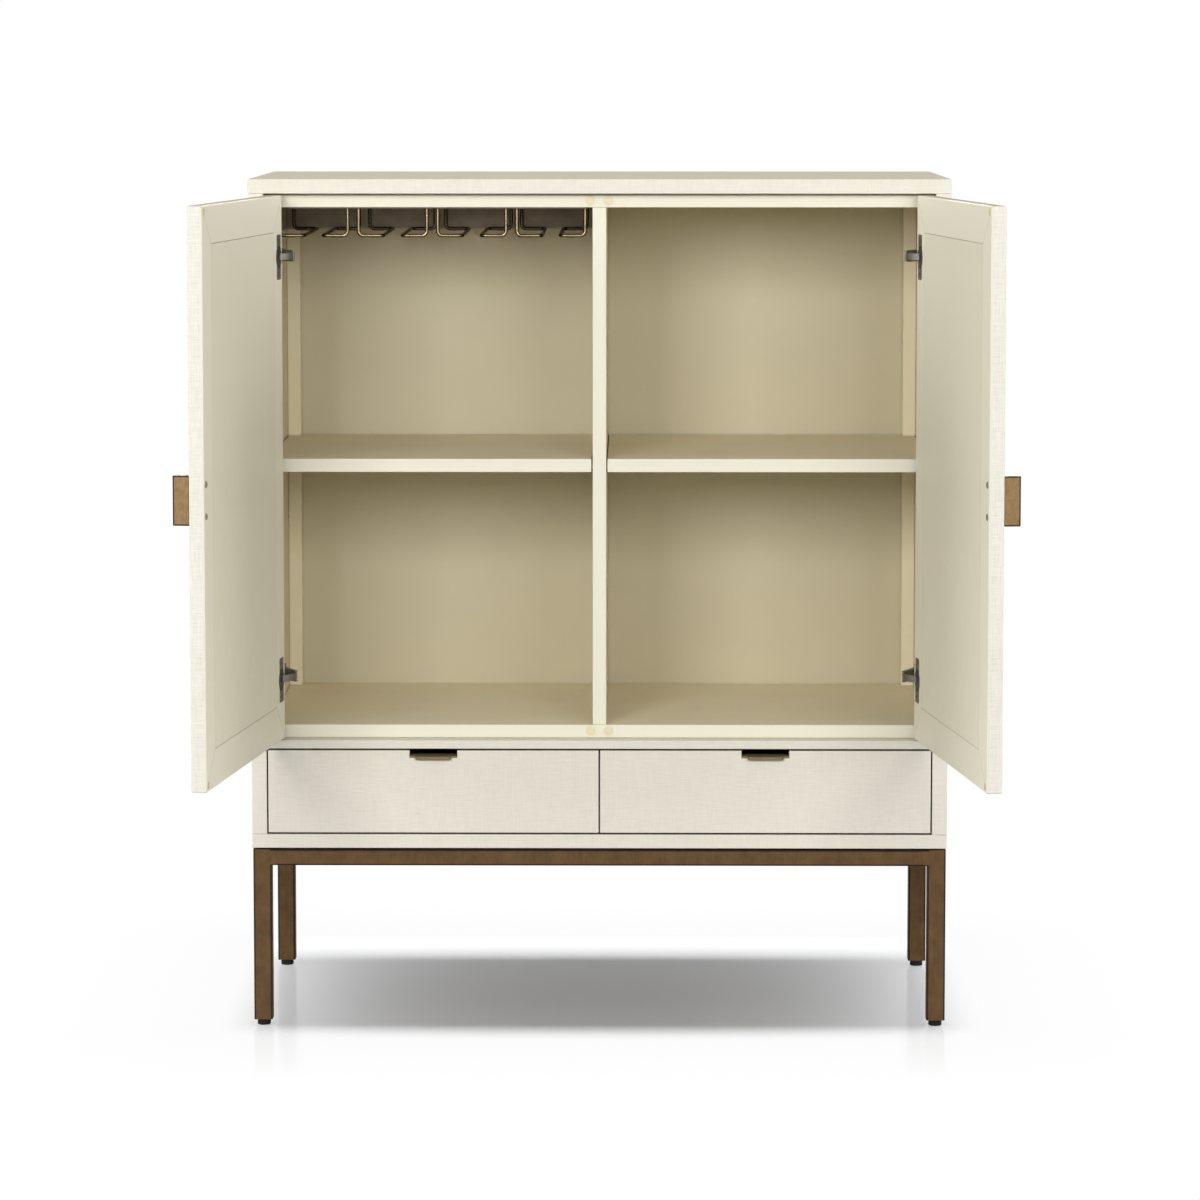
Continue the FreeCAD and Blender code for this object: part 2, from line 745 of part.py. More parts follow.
# Everything, set over the origin and written out
def main():
    build_case()
    build_shelves()
    build_base()
    build_doors()
    build_hinges()
    build_drawers()
    build_rack()
    front = min(s.optimalBoundingBox().YMin for name in ("left_door_panel", "left_door_pull")
                for s in nodes[name])
    shift = Vector(0, -(front + case_depth) / 2, 0)
    os.makedirs("parts", exist_ok=True)
    for name, shapes in nodes.items():
        solids = [s for shape in shapes for s in shape.Solids]
        body = solids[0] if len(solids) == 1 else Part.makeCompound(solids)
        body.translate(shift)
        body.exportStep("parts/" + name + ".step")
    print("nodes", len(nodes), "shift", round(shift.y, 3), "height", overall_height)
    print("door pivot", from_side(pivot_from_side), pivot_from_front + shift.y)
    print("link pin", from_side(link_pin_from_side), link_pin_from_front + shift.y)


main()
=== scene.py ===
import math

import bmesh
import bpy
from mathutils import Matrix, Vector


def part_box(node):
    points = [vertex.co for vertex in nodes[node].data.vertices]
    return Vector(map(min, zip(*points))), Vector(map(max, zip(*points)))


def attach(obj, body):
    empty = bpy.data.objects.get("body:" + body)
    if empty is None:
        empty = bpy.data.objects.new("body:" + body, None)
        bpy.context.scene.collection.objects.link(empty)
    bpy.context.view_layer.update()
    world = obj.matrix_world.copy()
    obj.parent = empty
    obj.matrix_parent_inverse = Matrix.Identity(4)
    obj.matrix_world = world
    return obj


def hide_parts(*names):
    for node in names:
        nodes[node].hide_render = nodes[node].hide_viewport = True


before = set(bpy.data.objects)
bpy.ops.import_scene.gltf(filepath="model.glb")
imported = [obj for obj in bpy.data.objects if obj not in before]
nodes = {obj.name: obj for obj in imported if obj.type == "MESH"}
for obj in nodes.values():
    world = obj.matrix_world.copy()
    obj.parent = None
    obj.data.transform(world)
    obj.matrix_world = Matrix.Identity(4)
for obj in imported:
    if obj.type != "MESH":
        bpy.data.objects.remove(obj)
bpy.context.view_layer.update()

print("frame loaded:", len(nodes), "nodes")


# small helpers for shader and geometry trees

def addNode(tree, kind, **settings):
    made = tree.nodes.new(kind)
    for name, value in settings.items():
        setattr(made, name, value)
    return made


def feed(tree, socket, value):
    # a socket is linked, anything else is typed in
    if isinstance(value, bpy.types.NodeSocket):
        tree.links.new(value, socket)
    else:
        socket.default_value = value


def addFed(tree, kind, values, **settings):
    # the values go into the node's first sockets, one after the other
    made = addNode(tree, kind, **settings)
    for socket, value in zip(made.inputs, values):
        feed(tree, socket, value)
    return made.outputs


def maths(tree, kind, *values):
    return addFed(tree, "ShaderNodeMath", values, operation=kind)[0]


def times(tree, first, second):
    return maths(tree, "MULTIPLY", first, second)


def vectorMaths(tree, kind, *values):
    outputs = addFed(tree, "ShaderNodeVectorMath", values, operation=kind)
    return outputs["Value" if kind in ("DOT_PRODUCT", "LENGTH") else "Vector"]


def split(tree, vector):
    return addFed(tree, "ShaderNodeSeparateXYZ", [vector])


def joined(tree, *values):
    return addFed(tree, "ShaderNodeCombineXYZ", values)[0]


def remap(tree, value, low, high, newLow=0.0, newHigh=1.0, ease="LINEAR"):
    return addFed(tree, "ShaderNodeMapRange", (value, low, high, newLow, newHigh),
                  clamp=True, interpolation_type=ease)[0]


def blendColor(tree, first, second, factor, share=1.0):
    # share is how much of the second colour shows where the factor is 1
    if share != 1.0:
        factor = times(tree, factor, share)
    made = addNode(tree, "ShaderNodeMix", data_type="RGBA")
    for socket, value in ((0, factor), (6, first), (7, second)):
        feed(tree, made.inputs[socket], value)
    return made.outputs[2]


def noise(tree, vector, size, detail=2.0, roughness=0.5, distortion=0.0):
    # the pattern's features are as large as size, in metres along x, y and z
    made = addNode(tree, "ShaderNodeTexNoise", noise_dimensions="3D")
    feed(tree, made.inputs["Vector"], vectorMaths(tree, "DIVIDE", vector, size))
    made.inputs["Scale"].default_value = 1.0
    made.inputs["Detail"].default_value = detail
    made.inputs["Roughness"].default_value = roughness
    made.inputs["Distortion"].default_value = distortion
    return made.outputs["Fac"]


def color(red, green, blue):
    # an sRGB colour as read off a swatch, 0 to 255, made linear
    parts = []
    for value in (red, green, blue):
        share = value / 255
        parts.append(share / 12.92 if share <= 0.04045 else ((share + 0.055) / 1.055) ** 2.4)
    return (*parts, 1.0)


def newGroup(name, inputs, outputs):
    group = bpy.data.node_groups.new(name, "ShaderNodeTree")
    for label, kind, value in inputs:
        made = group.interface.new_socket(label, in_out="INPUT", socket_type="NodeSocket" + kind)
        if value is not None:
            made.default_value = value
    for label in outputs:
        kind = "Vector" if label == "Plane" else "Float"
        group.interface.new_socket(label, in_out="OUTPUT", socket_type="NodeSocket" + kind)
    return group, addNode(group, "NodeGroupInput").outputs, addNode(group, "NodeGroupOutput").inputs


def useGroup(tree, group, **values):
    made = addNode(tree, "ShaderNodeGroup", node_tree=group)
    for name, value in values.items():
        feed(tree, made.inputs[name], value)
    return made.outputs


def inScene(name, data):
    made = bpy.data.objects.new(name, data)
    bpy.context.scene.collection.objects.link(made)
    return made


def meshOf(shape, name):
    mesh = bpy.data.meshes.new(name)
    shape.to_mesh(mesh)
    shape.free()
    return mesh


# effects shared by several finishes

# where each mask starts and where it is full, as levels of what it is made from
maskLevels = {
    "patch": (0.3, 0.62),
    "sharp": (0.998, 0.9),
    "round": (0.995, 0.88),
    "shut": (0.62, 0.12),
    "thread": (0.3, 0.7),
    "cloud": (0.32, 0.68),
    "streak": (0.3, 0.7),
    "patina": (0.35, 0.66),
}
# detail, roughness and distortion of each noise
noiseShape = {
    "patch": (3.0, 0.6),
    "thread": (3.0, 0.62, 0.15),
    "cloud": (4.0, 0.6),
    "streak": (4.0, 0.65),
    "patina": (5.0, 0.6, 0.3),
    "grain": (2.0, 0.6),
}
patchInputs = [("Break", "Float", 0.02), ("Even", "Float", 0.0), ("Vector", "Vector", None)]


def inPatches(group, given, edge):
    # an edge mark breaks into patches, or runs all along as far as Even says
    patches = noise(group, given["Vector"], given["Break"], *noiseShape["patch"])
    patches = remap(group, patches, *maskLevels["patch"])
    return times(group, edge, maths(group, "MAXIMUM", patches, given["Even"]))


def makeEdgeGroup():
    # 1 along rounded or sharp edges, 0 on the flats
    group, given, out = newGroup("edgeShadeAndWear", [("Reach", "Float", 0.002), *patchInputs], ["Mask"])
    bevel = addNode(group, "ShaderNodeBevel", samples=2)
    feed(group, bevel.inputs["Radius"], given["Reach"])
    shape = addNode(group, "ShaderNodeNewGeometry")
    bend = vectorMaths(group, "DOT_PRODUCT", bevel.outputs[0], shape.outputs["Normal"])
    feed(group, out["Mask"], inPatches(group, given, remap(group, bend, *maskLevels["sharp"])))
    return group


def makeRoundingGroup():
    # 1 on the rounded edges of a board, where its face turns away from straight
    group, given, out = newGroup(
        "roundedEdge", [*patchInputs, ("Normal", "Vector", None)], ["Mask"])
    x, y, z = [maths(group, "ABSOLUTE", part) for part in split(group, given["Normal"])]
    straight = maths(group, "MAXIMUM", maths(group, "MAXIMUM", x, y), z)
    feed(group, out["Mask"], inPatches(group, given, remap(group, straight, *maskLevels["round"])))
    return group


def makeCreaseGroup():
    # 1 deep in gaps and inner corners, where shade is painted
    group, given, out = newGroup(
        "creaseShade", [("Reach", "Float", 0.006), ("Depth", "Float", 1.0)], ["Mask"])
    near = addNode(group, "ShaderNodeAmbientOcclusion", samples=2)
    feed(group, near.inputs["Distance"], given["Reach"])
    shut = remap(group, near.outputs["AO"], *maskLevels["shut"], ease="SMOOTHSTEP")
    feed(group, out["Mask"], times(group, shut, given["Depth"]))
    return group


# how far a face's normal points along an axis where the pattern is laid out for that face
planeShare = 0.7


def makePlaneGroup():
    # lays a flat pattern on each face of a board: x goes along it, y goes up or back
    group, given, out = newGroup(
        "boardPlane", [("Vector", "Vector", None), ("Normal", "Vector", None)], ["Plane"])
    place = split(group, given["Vector"])
    facing = [maths(group, "ABSOLUTE", part) for part in split(group, given["Normal"])]
    picks = []
    for axis in (0, 2):
        # a side face takes y in place of x, and a top face takes y in place of z
        pick = maths(group, "GREATER_THAN", facing[axis], planeShare)
        step = maths(group, "SUBTRACT", place[1], place[axis])
        picks.append(maths(group, "MULTIPLY_ADD", step, pick, place[axis]))
    feed(group, out["Plane"], joined(group, *picks))
    return group


weaveShape = {"warpShift": 7.3, "ribHeight": 0.22}


def makeWeaveGroup():
    # plain linen weave: fine threads both ways, with longer and thicker slub threads among them
    group, given, out = newGroup(
        "linenWeave",
        [("Plane", "Vector", None), ("Thread", "Float", 0.0008), ("Width", "Float", 0.0016),
         ("Length", "Float", 0.03)],
        ["Weft", "Warp", "Height"])
    across, up = split(group, given["Plane"])[:2]
    slub = joined(group, given["Length"], given["Width"], 1.0)
    streaks = []
    for name, long, short, shift in (("Weft", across, up, 0.0),
                                     ("Warp", up, across, weaveShape["warpShift"])):
        streaks.append(noise(group, joined(group, long, short, shift), slub,
                             *noiseShape["thread"]))
        feed(group, out[name], remap(group, streaks[-1], *maskLevels["thread"]))
    ribs = []
    for run in (across, up):
        turn = times(group, maths(group, "DIVIDE", run, given["Thread"]), math.pi)
        ribs.append(maths(group, "ABSOLUTE", maths(group, "SINE", turn)))
    threads, slubs = maths(group, "ADD", *ribs), maths(group, "ADD", *streaks)
    height = maths(group, "MULTIPLY_ADD", threads, weaveShape["ribHeight"], slubs)
    feed(group, out["Height"], height)
    return group


def makePaintGroup():
    # sprayed film: faint clouds in the tone, orange peel in the height
    group, given, out = newGroup(
        "sprayedFilm",
        [("Vector", "Vector", None), ("CloudSize", "Float", 0.18), ("PeelSize", "Float", 0.0022)],
        ["Clouds", "Peel"])
    clouds = noise(group, given["Vector"], given["CloudSize"], *noiseShape["cloud"])
    feed(group, out["Clouds"], remap(group, clouds, *maskLevels["cloud"]))
    feed(group, out["Peel"], noise(group, given["Vector"], given["PeelSize"]))
    return group


def makeMetalGroup():
    # brushing streaks and slow patina blotches on metal
    group, given, out = newGroup(
        "metalSkin",
        [("Vector", "Vector", None), ("Streak", "Vector", (0.001, 0.02, 0.02)),
         ("Blotch", "Float", 0.02), ("Grain", "Float", 0.0006)],
        ["Streaks", "Patina", "Grain"])
    streaks = noise(group, given["Vector"], given["Streak"], *noiseShape["streak"])
    feed(group, out["Streaks"], remap(group, streaks, *maskLevels["streak"]))
    patina = noise(group, given["Vector"], given["Blotch"], *noiseShape["patina"])
    feed(group, out["Patina"], remap(group, patina, *maskLevels["patina"]))
    grain = noise(group, given["Vector"], given["Grain"], *noiseShape["grain"])
    feed(group, out["Grain"], grain)
    return group


edgeShadeAndWear = makeEdgeGroup()
roundedEdge = makeRoundingGroup()
creaseShade = makeCreaseGroup()
boardPlane = makePlaneGroup()
linenWeave = makeWeaveGroup()
sprayedFilm = makePaintGroup()
metalSkin = makeMetalGroup()
print("shared effects built")


# finishes

openAngle = math.radians(98)
# how far a face's normal points along an axis where it counts as facing that way
facingShare = 0.6


def turned(tree, value, angle, kind="POINT"):
    if not angle:
        return value
    made = addNode(tree, "ShaderNodeMapping", vector_type=kind)
    feed(tree, made.inputs["Vector"], value)
    made.inputs["Rotation"].default_value = (0.0, 0.0, angle)
    return made.outputs[0]


def newMaterial(name, turn=0.0):
    # a door's patterns are laid out as if it were turned shut
    material = bpy.data.materials.new(name)
    material.use_nodes = True
    tree = material.node_tree
    tree.nodes.clear()
    shader = addNode(tree, "ShaderNodeBsdfPrincipled")
    addFed(tree, "ShaderNodeOutputMaterial", [shader.outputs[0]])
    place = addNode(tree, "ShaderNodeTexCoord").outputs
    spot = turned(tree, place["Object"], turn)
    facing = turned(tree, place["Normal"], turn, "VECTOR")
    return material, tree, shader.inputs, spot, facing


def dress(tree, inputs, base, rough, shine, height, relief, strength):
    bump = addNode(tree, "ShaderNodeBump")
    feed(tree, bump.inputs["Height"], height)
    bump.inputs["Distance"].default_value = relief
    bump.inputs["Strength"].default_value = strength
    for name, value in (("Base Color", base), ("Roughness", rough), ("Specular IOR Level", shine),
                        ("Normal", bump.outputs[0])):
        feed(tree, inputs[name], value)


lacquerLook = {
    "film": color(230, 220, 192),
    "shade": color(220, 209, 179),
    "cloudShow": 0.35,
    "frontFilm": color(238, 234, 216),
    "rubbed": color(214, 203, 172),
    "edgeShow": 0.25,
    "gapShade": color(106, 94, 70),
    "creaseReach": 0.004,
    "creaseDepth": 0.75,
    "cornerReach": 0.06,
    "cornerShade": 0.0,
    "underRack": False,
    "rackShade": color(147, 138, 130),
    "door": None,
    "turn": 0.0,
    "roughness": 0.42,
    "roughSpread": 0.1,
    "shine": 0.22,
    "relief": 0.00012,
    "reliefShow": 0.4,
}
# painted shade: the back is a darker copy of the lacquer
shadedBackLook = {**lacquerLook, "film": color(215, 207, 180), "shade": color(205, 196, 168),
            "frontFilm": None, "cornerShade": 0.15, "underRack": True}
# painted light: the door linings are a paler copy of the lacquer
doorLook = {
    **lacquerLook,
    "film": color(253, 248, 226),
    "shade": color(247, 241, 217),
    "highFilm": color(220, 214, 194),
    "hingeFilm": color(254, 250, 233),
    "hingeShow": 0.5,
    "frontFilm": None,
    "clothShow": 0.3,
    "edgeCloth": color(224, 220, 207),
    "topTint": color(206, 194, 160),
    "topFacing": (0.2, 0.6),
    "stripFilm": color(255, 252, 238),
    "stripShow": 0.18,
    "stripWidth": 0.052,
    "mitreShow": 0.4,
    "mitreLine": (0.0009, 0.0004),
    "shine": 0.08,
}
# painted light: the floor and the battens are paler copies of the lacquer
lacquerLooks = {
    "lacquer": lacquerLook,
    "lacquerFloor": {**lacquerLook, "film": color(239, 229, 202), "shade": color(229, 218, 189)},
    "lacquerBack": shadedBackLook,
    "lacquerBattens": {**shadedBackLook, "film": color(245, 236, 209), "shade": color(236, 227, 198),
                       "cornerShade": 0.0},
    "lacquerLeftDoor": {**doorLook, "door": "left", "turn": openAngle},
    "lacquerRightDoor": {**doorLook, "door": "right", "turn": -openAngle},
}

linenLook = {
    "cloth": color(235, 230, 217),
    "coolThread": color(207, 206, 200),
    "warmThread": color(246, 238, 216),
    "edgeTint": color(208, 198, 174),
    "cloudShow": 0.06,
    "edgeShow": 0.3,
    "topTint": color(228, 213, 172),
    "topShow": 0.0,
    "topFacing": (0.7, 0.95),
    "lined": False,
    "gapShade": color(52, 46, 38),
    "creaseReach": 0.007,
    "creaseDepth": 0.9,
    "thread": 0.0008,
    "slubWidth": 0.0017,
    "slubLength": 0.028,
    "weftShow": 0.5,
    "warpShow": 0.4,
    "turn": 0.0,
    "roughness": 0.55,
    "roughSpread": 0.14,
    "relief": 0.00022,
    "reliefShow": 0.55,
}
doorLinen = {**linenLook, "cloth": color(238, 235, 223), "coolThread": color(202, 202, 197),
             "warmThread": color(248, 243, 225), "topShow": 0.85, "topTint": color(208, 197, 168),
             "weftShow": 0.82, "warpShow": 0.62}
linenLooks = {
    "linenCase": linenLook,
    "linenTop": {**linenLook, "topShow": 0.34, "gapShade": color(150, 136, 108)},
    "linenSides": {**linenLook, "lined": True},
    "linenLeftDoor": {**doorLinen, "turn": openAngle},
    "linenRightDoor": {**doorLinen, "turn": -openAngle},
}

rackLook = {"below": 0.004, "ahead": (0.06, 0.02), "beside": 0.008, "backFacing": 0.5}


def rackMask(tree, spot):
    # 1 on the back wall and the side board behind the hanging wires, where shade is painted as
    # little light gets in
    wireLow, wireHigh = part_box("stemware_channel_1")
    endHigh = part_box("stemware_channel_4")[1]
    x, y, z = split(tree, spot)
    above = remap(tree, z, wireLow.z - rackLook["below"], wireLow.z)
    behind = remap(tree, y, *(wireHigh.y - ahead for ahead in rackLook["ahead"]))
    beside = maths(tree, "LESS_THAN", x, endHigh.x + rackLook["beside"])
    return times(tree, above, times(tree, behind, beside))


def makeLinen(name, look):
    material, tree, inputs, spot, facing = newMaterial(name, look["turn"])
    plane = useGroup(tree, boardPlane, Vector=spot, Normal=facing)["Plane"]
    weave = useGroup(tree, linenWeave, Plane=plane, Thread=look["thread"],
                     Width=look["slubWidth"], Length=look["slubLength"])
    clouds = useGroup(tree, sprayedFilm, Vector=spot)["Clouds"]
    edge = useGroup(tree, roundedEdge, Vector=spot, Normal=facing)["Mask"]
    base = blendColor(tree, look["cloth"], look["coolThread"], weave["Weft"], look["weftShow"])
    base = blendColor(tree, base, look["warmThread"], weave["Warp"], look["warpShow"])
    base = blendColor(tree, base, look["edgeTint"], clouds, look["cloudShow"])
    base = blendColor(tree, base, look["edgeTint"], edge, look["edgeShow"])
    aims = split(tree, facing)
    if look["topShow"]:
        # painted shade: cloth that faces up is painted darker and warmer
        upward = remap(tree, aims[2], *look["topFacing"])
        base = blendColor(tree, base, look["topTint"], upward, look["topShow"])
    if look["lined"]:
        # the side boards are lacquered on the face that looks into the case
        side = maths(tree, "SIGN", split(tree, spot)[0])
        inward = maths(tree, "LESS_THAN", times(tree, side, aims[0]), -facingShare)
        film = blendColor(tree, lacquerLook["film"], lacquerLook["shade"], clouds,
                          lacquerLook["cloudShow"])
        # painted shade behind the hanging wires
        film = blendColor(tree, film, lacquerLook["rackShade"], rackMask(tree, spot))
        base = blendColor(tree, base, film, inward)
    # painted shade deep in the gaps and inner corners
    crease = useGroup(tree, creaseShade, Reach=look["creaseReach"], Depth=look["creaseDepth"])
    base = blendColor(tree, base, look["gapShade"], crease["Mask"])
    rough = maths(tree, "MULTIPLY_ADD", weave["Weft"], look["roughSpread"], look["roughness"])
    dress(tree, inputs, base, rough, 0.0, weave["Height"], look["relief"], look["reliefShow"])
    return material


def turnedBox(name, turn):
    # the two far corners of a door's piece, with the door turned shut
    turning = Matrix.Rotation(turn, 3, "Z")
    corners = [turning @ vertex.co for vertex in nodes[name].data.vertices]
    return [Vector([pick(corner[axis] for corner in corners) for axis in range(3)])
            for pick in (min, max)]


def inset(tree, place, box, axis):
    # how far a spot is from the nearer end of a box
    low, high = box
    return maths(tree, "MINIMUM", maths(tree, "SUBTRACT", place[axis], low[axis]),
                 maths(tree, "SUBTRACT", high[axis], place[axis]))


def coverDoor(tree, base, look, spot, weave, facing):
    # cloth turns over the door's edges as far as the inside face, which has mitred strips
    box = turnedBox(look["door"] + "_door_lining", look["turn"])
    base = blendColor(tree, base, look["rubbed"], weave["Warp"], look["clothShow"])
    onEdge = maths(tree, "LESS_THAN", maths(tree, "ABSOLUTE", facing[1]), facingShare)
    base = blendColor(tree, base, look["edgeCloth"], onEdge)
    # painted shade on the faces of the lining that look up
    base = blendColor(tree, base, look["topTint"], remap(tree, facing[2], *look["topFacing"]))
    # painted light and shade: the face is painted darker high up and paler towards the hinges
    onFace = maths(tree, "SUBTRACT", 1.0, onEdge)
    place = split(tree, spot)
    upper = remap(tree, place[2], box[0].z, box[1].z)
    base = blendColor(tree, base, look["highFilm"], times(tree, upper, onFace))
    reach = sorted(abs(corner.x) for corner in box)
    hingeSide = remap(tree, maths(tree, "ABSOLUTE", place[0]), reach[1], reach[0])
    base = blendColor(tree, base, look["hingeFilm"], times(tree, hingeSide, onFace),
                      look["hingeShow"])
    aside, level = inset(tree, place, box, 0), inset(tree, place, box, 2)
    strips = maths(tree, "LESS_THAN", maths(tree, "MINIMUM", aside, level), look["stripWidth"])
    apart = maths(tree, "ABSOLUTE", maths(tree, "SUBTRACT", aside, level))
    mitres = times(tree, strips, remap(tree, apart, *look["mitreLine"]))
    base = blendColor(tree, base, look["stripFilm"], strips, look["stripShow"])
    return blendColor(tree, base, look["gapShade"], mitres, look["mitreShow"])


def makeLacquer(name, look):
    material, tree, inputs, spot, normal = newMaterial(name, look["turn"])
    film = useGroup(tree, sprayedFilm, Vector=spot)
    edge = useGroup(tree, roundedEdge, Vector=spot, Normal=normal)["Mask"]
    facing = split(tree, normal)
    height = film["Peel"]
    base = blendColor(tree, look["film"], look["shade"], film["Clouds"], look["cloudShow"])
    if look["frontFilm"]:
        # painted light: the faces that look ahead are painted paler than the faces inside
        ahead = maths(tree, "LESS_THAN", facing[1], -facingShare)
        base = blendColor(tree, base, look["frontFilm"], ahead)
    if look["door"]:
        plane = useGroup(tree, boardPlane, Vector=spot, Normal=normal)["Plane"]
        weave = useGroup(tree, linenWeave, Plane=plane)
        height = weave["Height"]
        base = coverDoor(tree, base, look, spot, weave, facing)
    base = blendColor(tree, base, look["rubbed"], edge, look["edgeShow"])
    if look["underRack"]:
        # painted shade behind the hanging wires, but not on the faces that look out at the back
        inside = maths(tree, "LESS_THAN", facing[1], rackLook["backFacing"])
        base = blendColor(tree, base, look["rackShade"], times(tree, rackMask(tree, spot), inside))
    # painted shade in the corners and in the gaps
    for reach, depth in ((look["cornerReach"], look["cornerShade"]),
                         (look["creaseReach"], look["creaseDepth"])):
        if depth:
            shut = useGroup(tree, creaseShade, Reach=reach, Depth=depth)["Mask"]
            base = blendColor(tree, base, look["gapShade"], shut)
    rough = maths(tree, "MULTIPLY_ADD", film["Clouds"], look["roughSpread"], look["roughness"])
    dress(tree, inputs, base, rough, look["shine"], height, look["relief"], look["reliefShow"])
    return material


birchLook = {
    "pale": color(226, 204, 166),
    "ring": color(200, 168, 122),
    "pore": color(168, 132, 90),
    "ringSize": (0.5, 0.022, 1.0),
    "ringShape": (3.0, 0.5, 1.2),
    "ringLevels": (0.35, 0.7),
    "grainSize": (0.16, 0.0022, 1.0),
    "grainShape": (5.0, 0.6, 0.4),
    "grainLevels": (0.45, 0.75),
    "poreSize": (0.012, 0.0005, 1.0),
    "poreLevels": (0.6, 0.75),
    "grainShow": 0.45,
    "poreShow": 0.5,
    "roughness": 0.4,
    "roughSpread": 0.2,
    "shine": 0.4,
    "relief": 0.0001,
    "reliefShow": 0.4,
}


def makeBirch(name, look):
    material, tree, inputs, spot, facing = newMaterial(name)
    plane = useGroup(tree, boardPlane, Vector=spot, Normal=facing)["Plane"]
    rings = noise(tree, plane, look["ringSize"], *look["ringShape"])
    grain = noise(tree, plane, look["grainSize"], *look["grainShape"])
    pores = noise(tree, plane, look["poreSize"])
    base = blendColor(tree, look["pale"], look["ring"], remap(tree, rings, *look["ringLevels"]))
    grained = remap(tree, grain, *look["grainLevels"])
    base = blendColor(tree, base, look["ring"], grained, look["grainShow"])
    pored = remap(tree, pores, *look["poreLevels"])
    base = blendColor(tree, base, look["pore"], pored, look["poreShow"])
    rough = maths(tree, "MULTIPLY_ADD", grain, look["roughSpread"], look["roughness"])
    dress(tree, inputs, base, rough, look["shine"], maths(tree, "ADD", grain, pores),
          look["relief"], look["reliefShow"])
    return material


metalBasics = {
    "metallic": 0.5,
    "roughness": 0.4,
    "shine": 0.5,
    "streak": (0.001, 0.001, 0.001),
    "streakShow": 0.3,
    "blotch": 0.02,
    "patinaShow": 0.4,
    "edgeReach": 0.0016,
    "edgeBreak": 0.006,
    "edgeShow": 0.95,
    "even": 0.0,
    "creaseReach": 0.004,
    "creaseDepth": 0.8,
    "tube": False,
    "pull": None,
    "far": 0.0,
    "farPlace": (0.12, 0.26),
    "rim": 0.0,
    "rimPlace": (0.32, 0.75),
    "patinaRough": 0.14,
    "streakRough": 0.06,
    "streakHeight": 0.6,
    "relief": 0.00005,
    "reliefShow": 0.35,
}


def metalLook(base, dark, bright, edge, **changes):
    # edge is the dark colour that paints shade: along the edges, in the creases and where a piece
    # turns away
    colors = {"base": base, "dark": dark, "bright": bright, "edge": edge}
    return {**metalBasics, **{name: color(*value) for name, value in colors.items()}, **changes}


metalLooks = {
    "bronzeTube": metalLook((93, 68, 38), (64, 47, 27), (120, 92, 57), (24, 18, 12),
                            metallic=0.25, roughness=0.6, shine=0.25, tube=True,
                            streak=(0.0014, 0.0014, 0.02), streakShow=0.4, patinaShow=0.6),
    "rackWire": metalLook((140, 123, 94), (92, 79, 59), (178, 160, 128), (20, 15, 10),
                          metallic=0.95, roughness=0.26, streak=(0.004, 0.012, 0.004),
                          edgeShow=0.0, rim=1.0, rimPlace=(0.01, 0.2), far=0.75),
    "stopPlate": metalLook((118, 106, 91), (94, 84, 71), (136, 123, 107), (40, 34, 28),
                           metallic=0.4, roughness=0.55, streak=(0.02, 0.001, 0.001),
                           edgeShow=0.5),
    "leftBrass": metalLook((124, 98, 60), (88, 66, 39), (162, 133, 89), (26, 19, 11),
                           roughness=0.46, streak=(0.0009, 0.0009, 0.012), streakShow=0.42,
                           blotch=0.006, patinaShow=0.6, pull=("left_door_pull", openAngle)),
    "drawerLip": metalLook((120, 103, 70), (86, 71, 48), (148, 130, 94), (50, 40, 27),
                           metallic=0.15, roughness=0.46, streak=(0.02, 0.001, 0.001),
                           blotch=0.008, patinaShow=0.5, edgeShow=0.7, creaseDepth=0.1),
    "nickel": metalLook((128, 124, 116), (92, 88, 81), (164, 160, 151), (38, 36, 33),
                        metallic=0.55, roughness=0.42, streak=(0.001, 0.001, 0.015),
                        blotch=0.015, patinaShow=0.35, edgeReach=0.0012, edgeShow=0.62,
                        even=1.0, rim=0.4, creaseDepth=0.4),
    "zinc": metalLook((168, 170, 172), (134, 136, 140), (196, 198, 200), (104, 104, 104),
                      metallic=0.9, roughness=0.38, streak=(0.001, 0.03, 0.001), blotch=0.012,
                      patinaShow=0.35, edgeShow=0.35),
    "pullScrew": metalLook((160, 155, 138), (122, 117, 103), (196, 191, 173), (44, 42, 36),
                           metallic=0.4, streakShow=0.2, blotch=0.004, patinaShow=0.3,
                           edgeShow=0.9, even=1.0),
    "screwSteel": metalLook((132, 132, 128), (84, 84, 80), (180, 180, 176), (40, 40, 38),
                            metallic=0.95, roughness=0.3, blotch=0.004, edgeShow=0.8, rim=0.35),
}
metalLooks["rightBrass"] = {**metalLooks["leftBrass"], "pull": ("right_door_pull", -openAngle)}

tubeLook = {
    "cornerLine": (0.0034, 0.0016),
    "slack": 0.001,
    "weldReach": 0.0055,
    "weldInset": (0.001, 0.002),
}
pullLook = {"edgeLine": (0.0026, 0.0019)}


def offLines(tree, value, *lines):
    # how far a value is from the nearest of the lines
    nearest = None
    for line in lines:
        off = maths(tree, "ABSOLUTE", maths(tree, "SUBTRACT", value, line))
        nearest = off if nearest is None else maths(tree, "MINIMUM", nearest, off)
    return nearest


def weldClear(tree, spot):
    # 0 beside the joints of the legs and rails, 1 elsewhere
    railLow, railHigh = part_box("front_rail")
    sideLow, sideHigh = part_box("side_rails")
    x, y, z = split(tree, spot)
    off = maths(tree, "MINIMUM", offLines(tree, maths(tree, "ABSOLUTE", x), railHigh.x),
                offLines(tree, y, sideLow.y, sideHigh.y))
    near = maths(tree, "LESS_THAN", off, tubeLook["weldReach"])
    bottomInset, topInset = tubeLook["weldInset"]
    above = maths(tree, "GREATER_THAN", z, railLow.z + bottomInset)
    below = maths(tree, "LESS_THAN", z, railHigh.z - topInset)
    return maths(tree, "SUBTRACT", 1.0, times(tree, near, times(tree, above, below)))


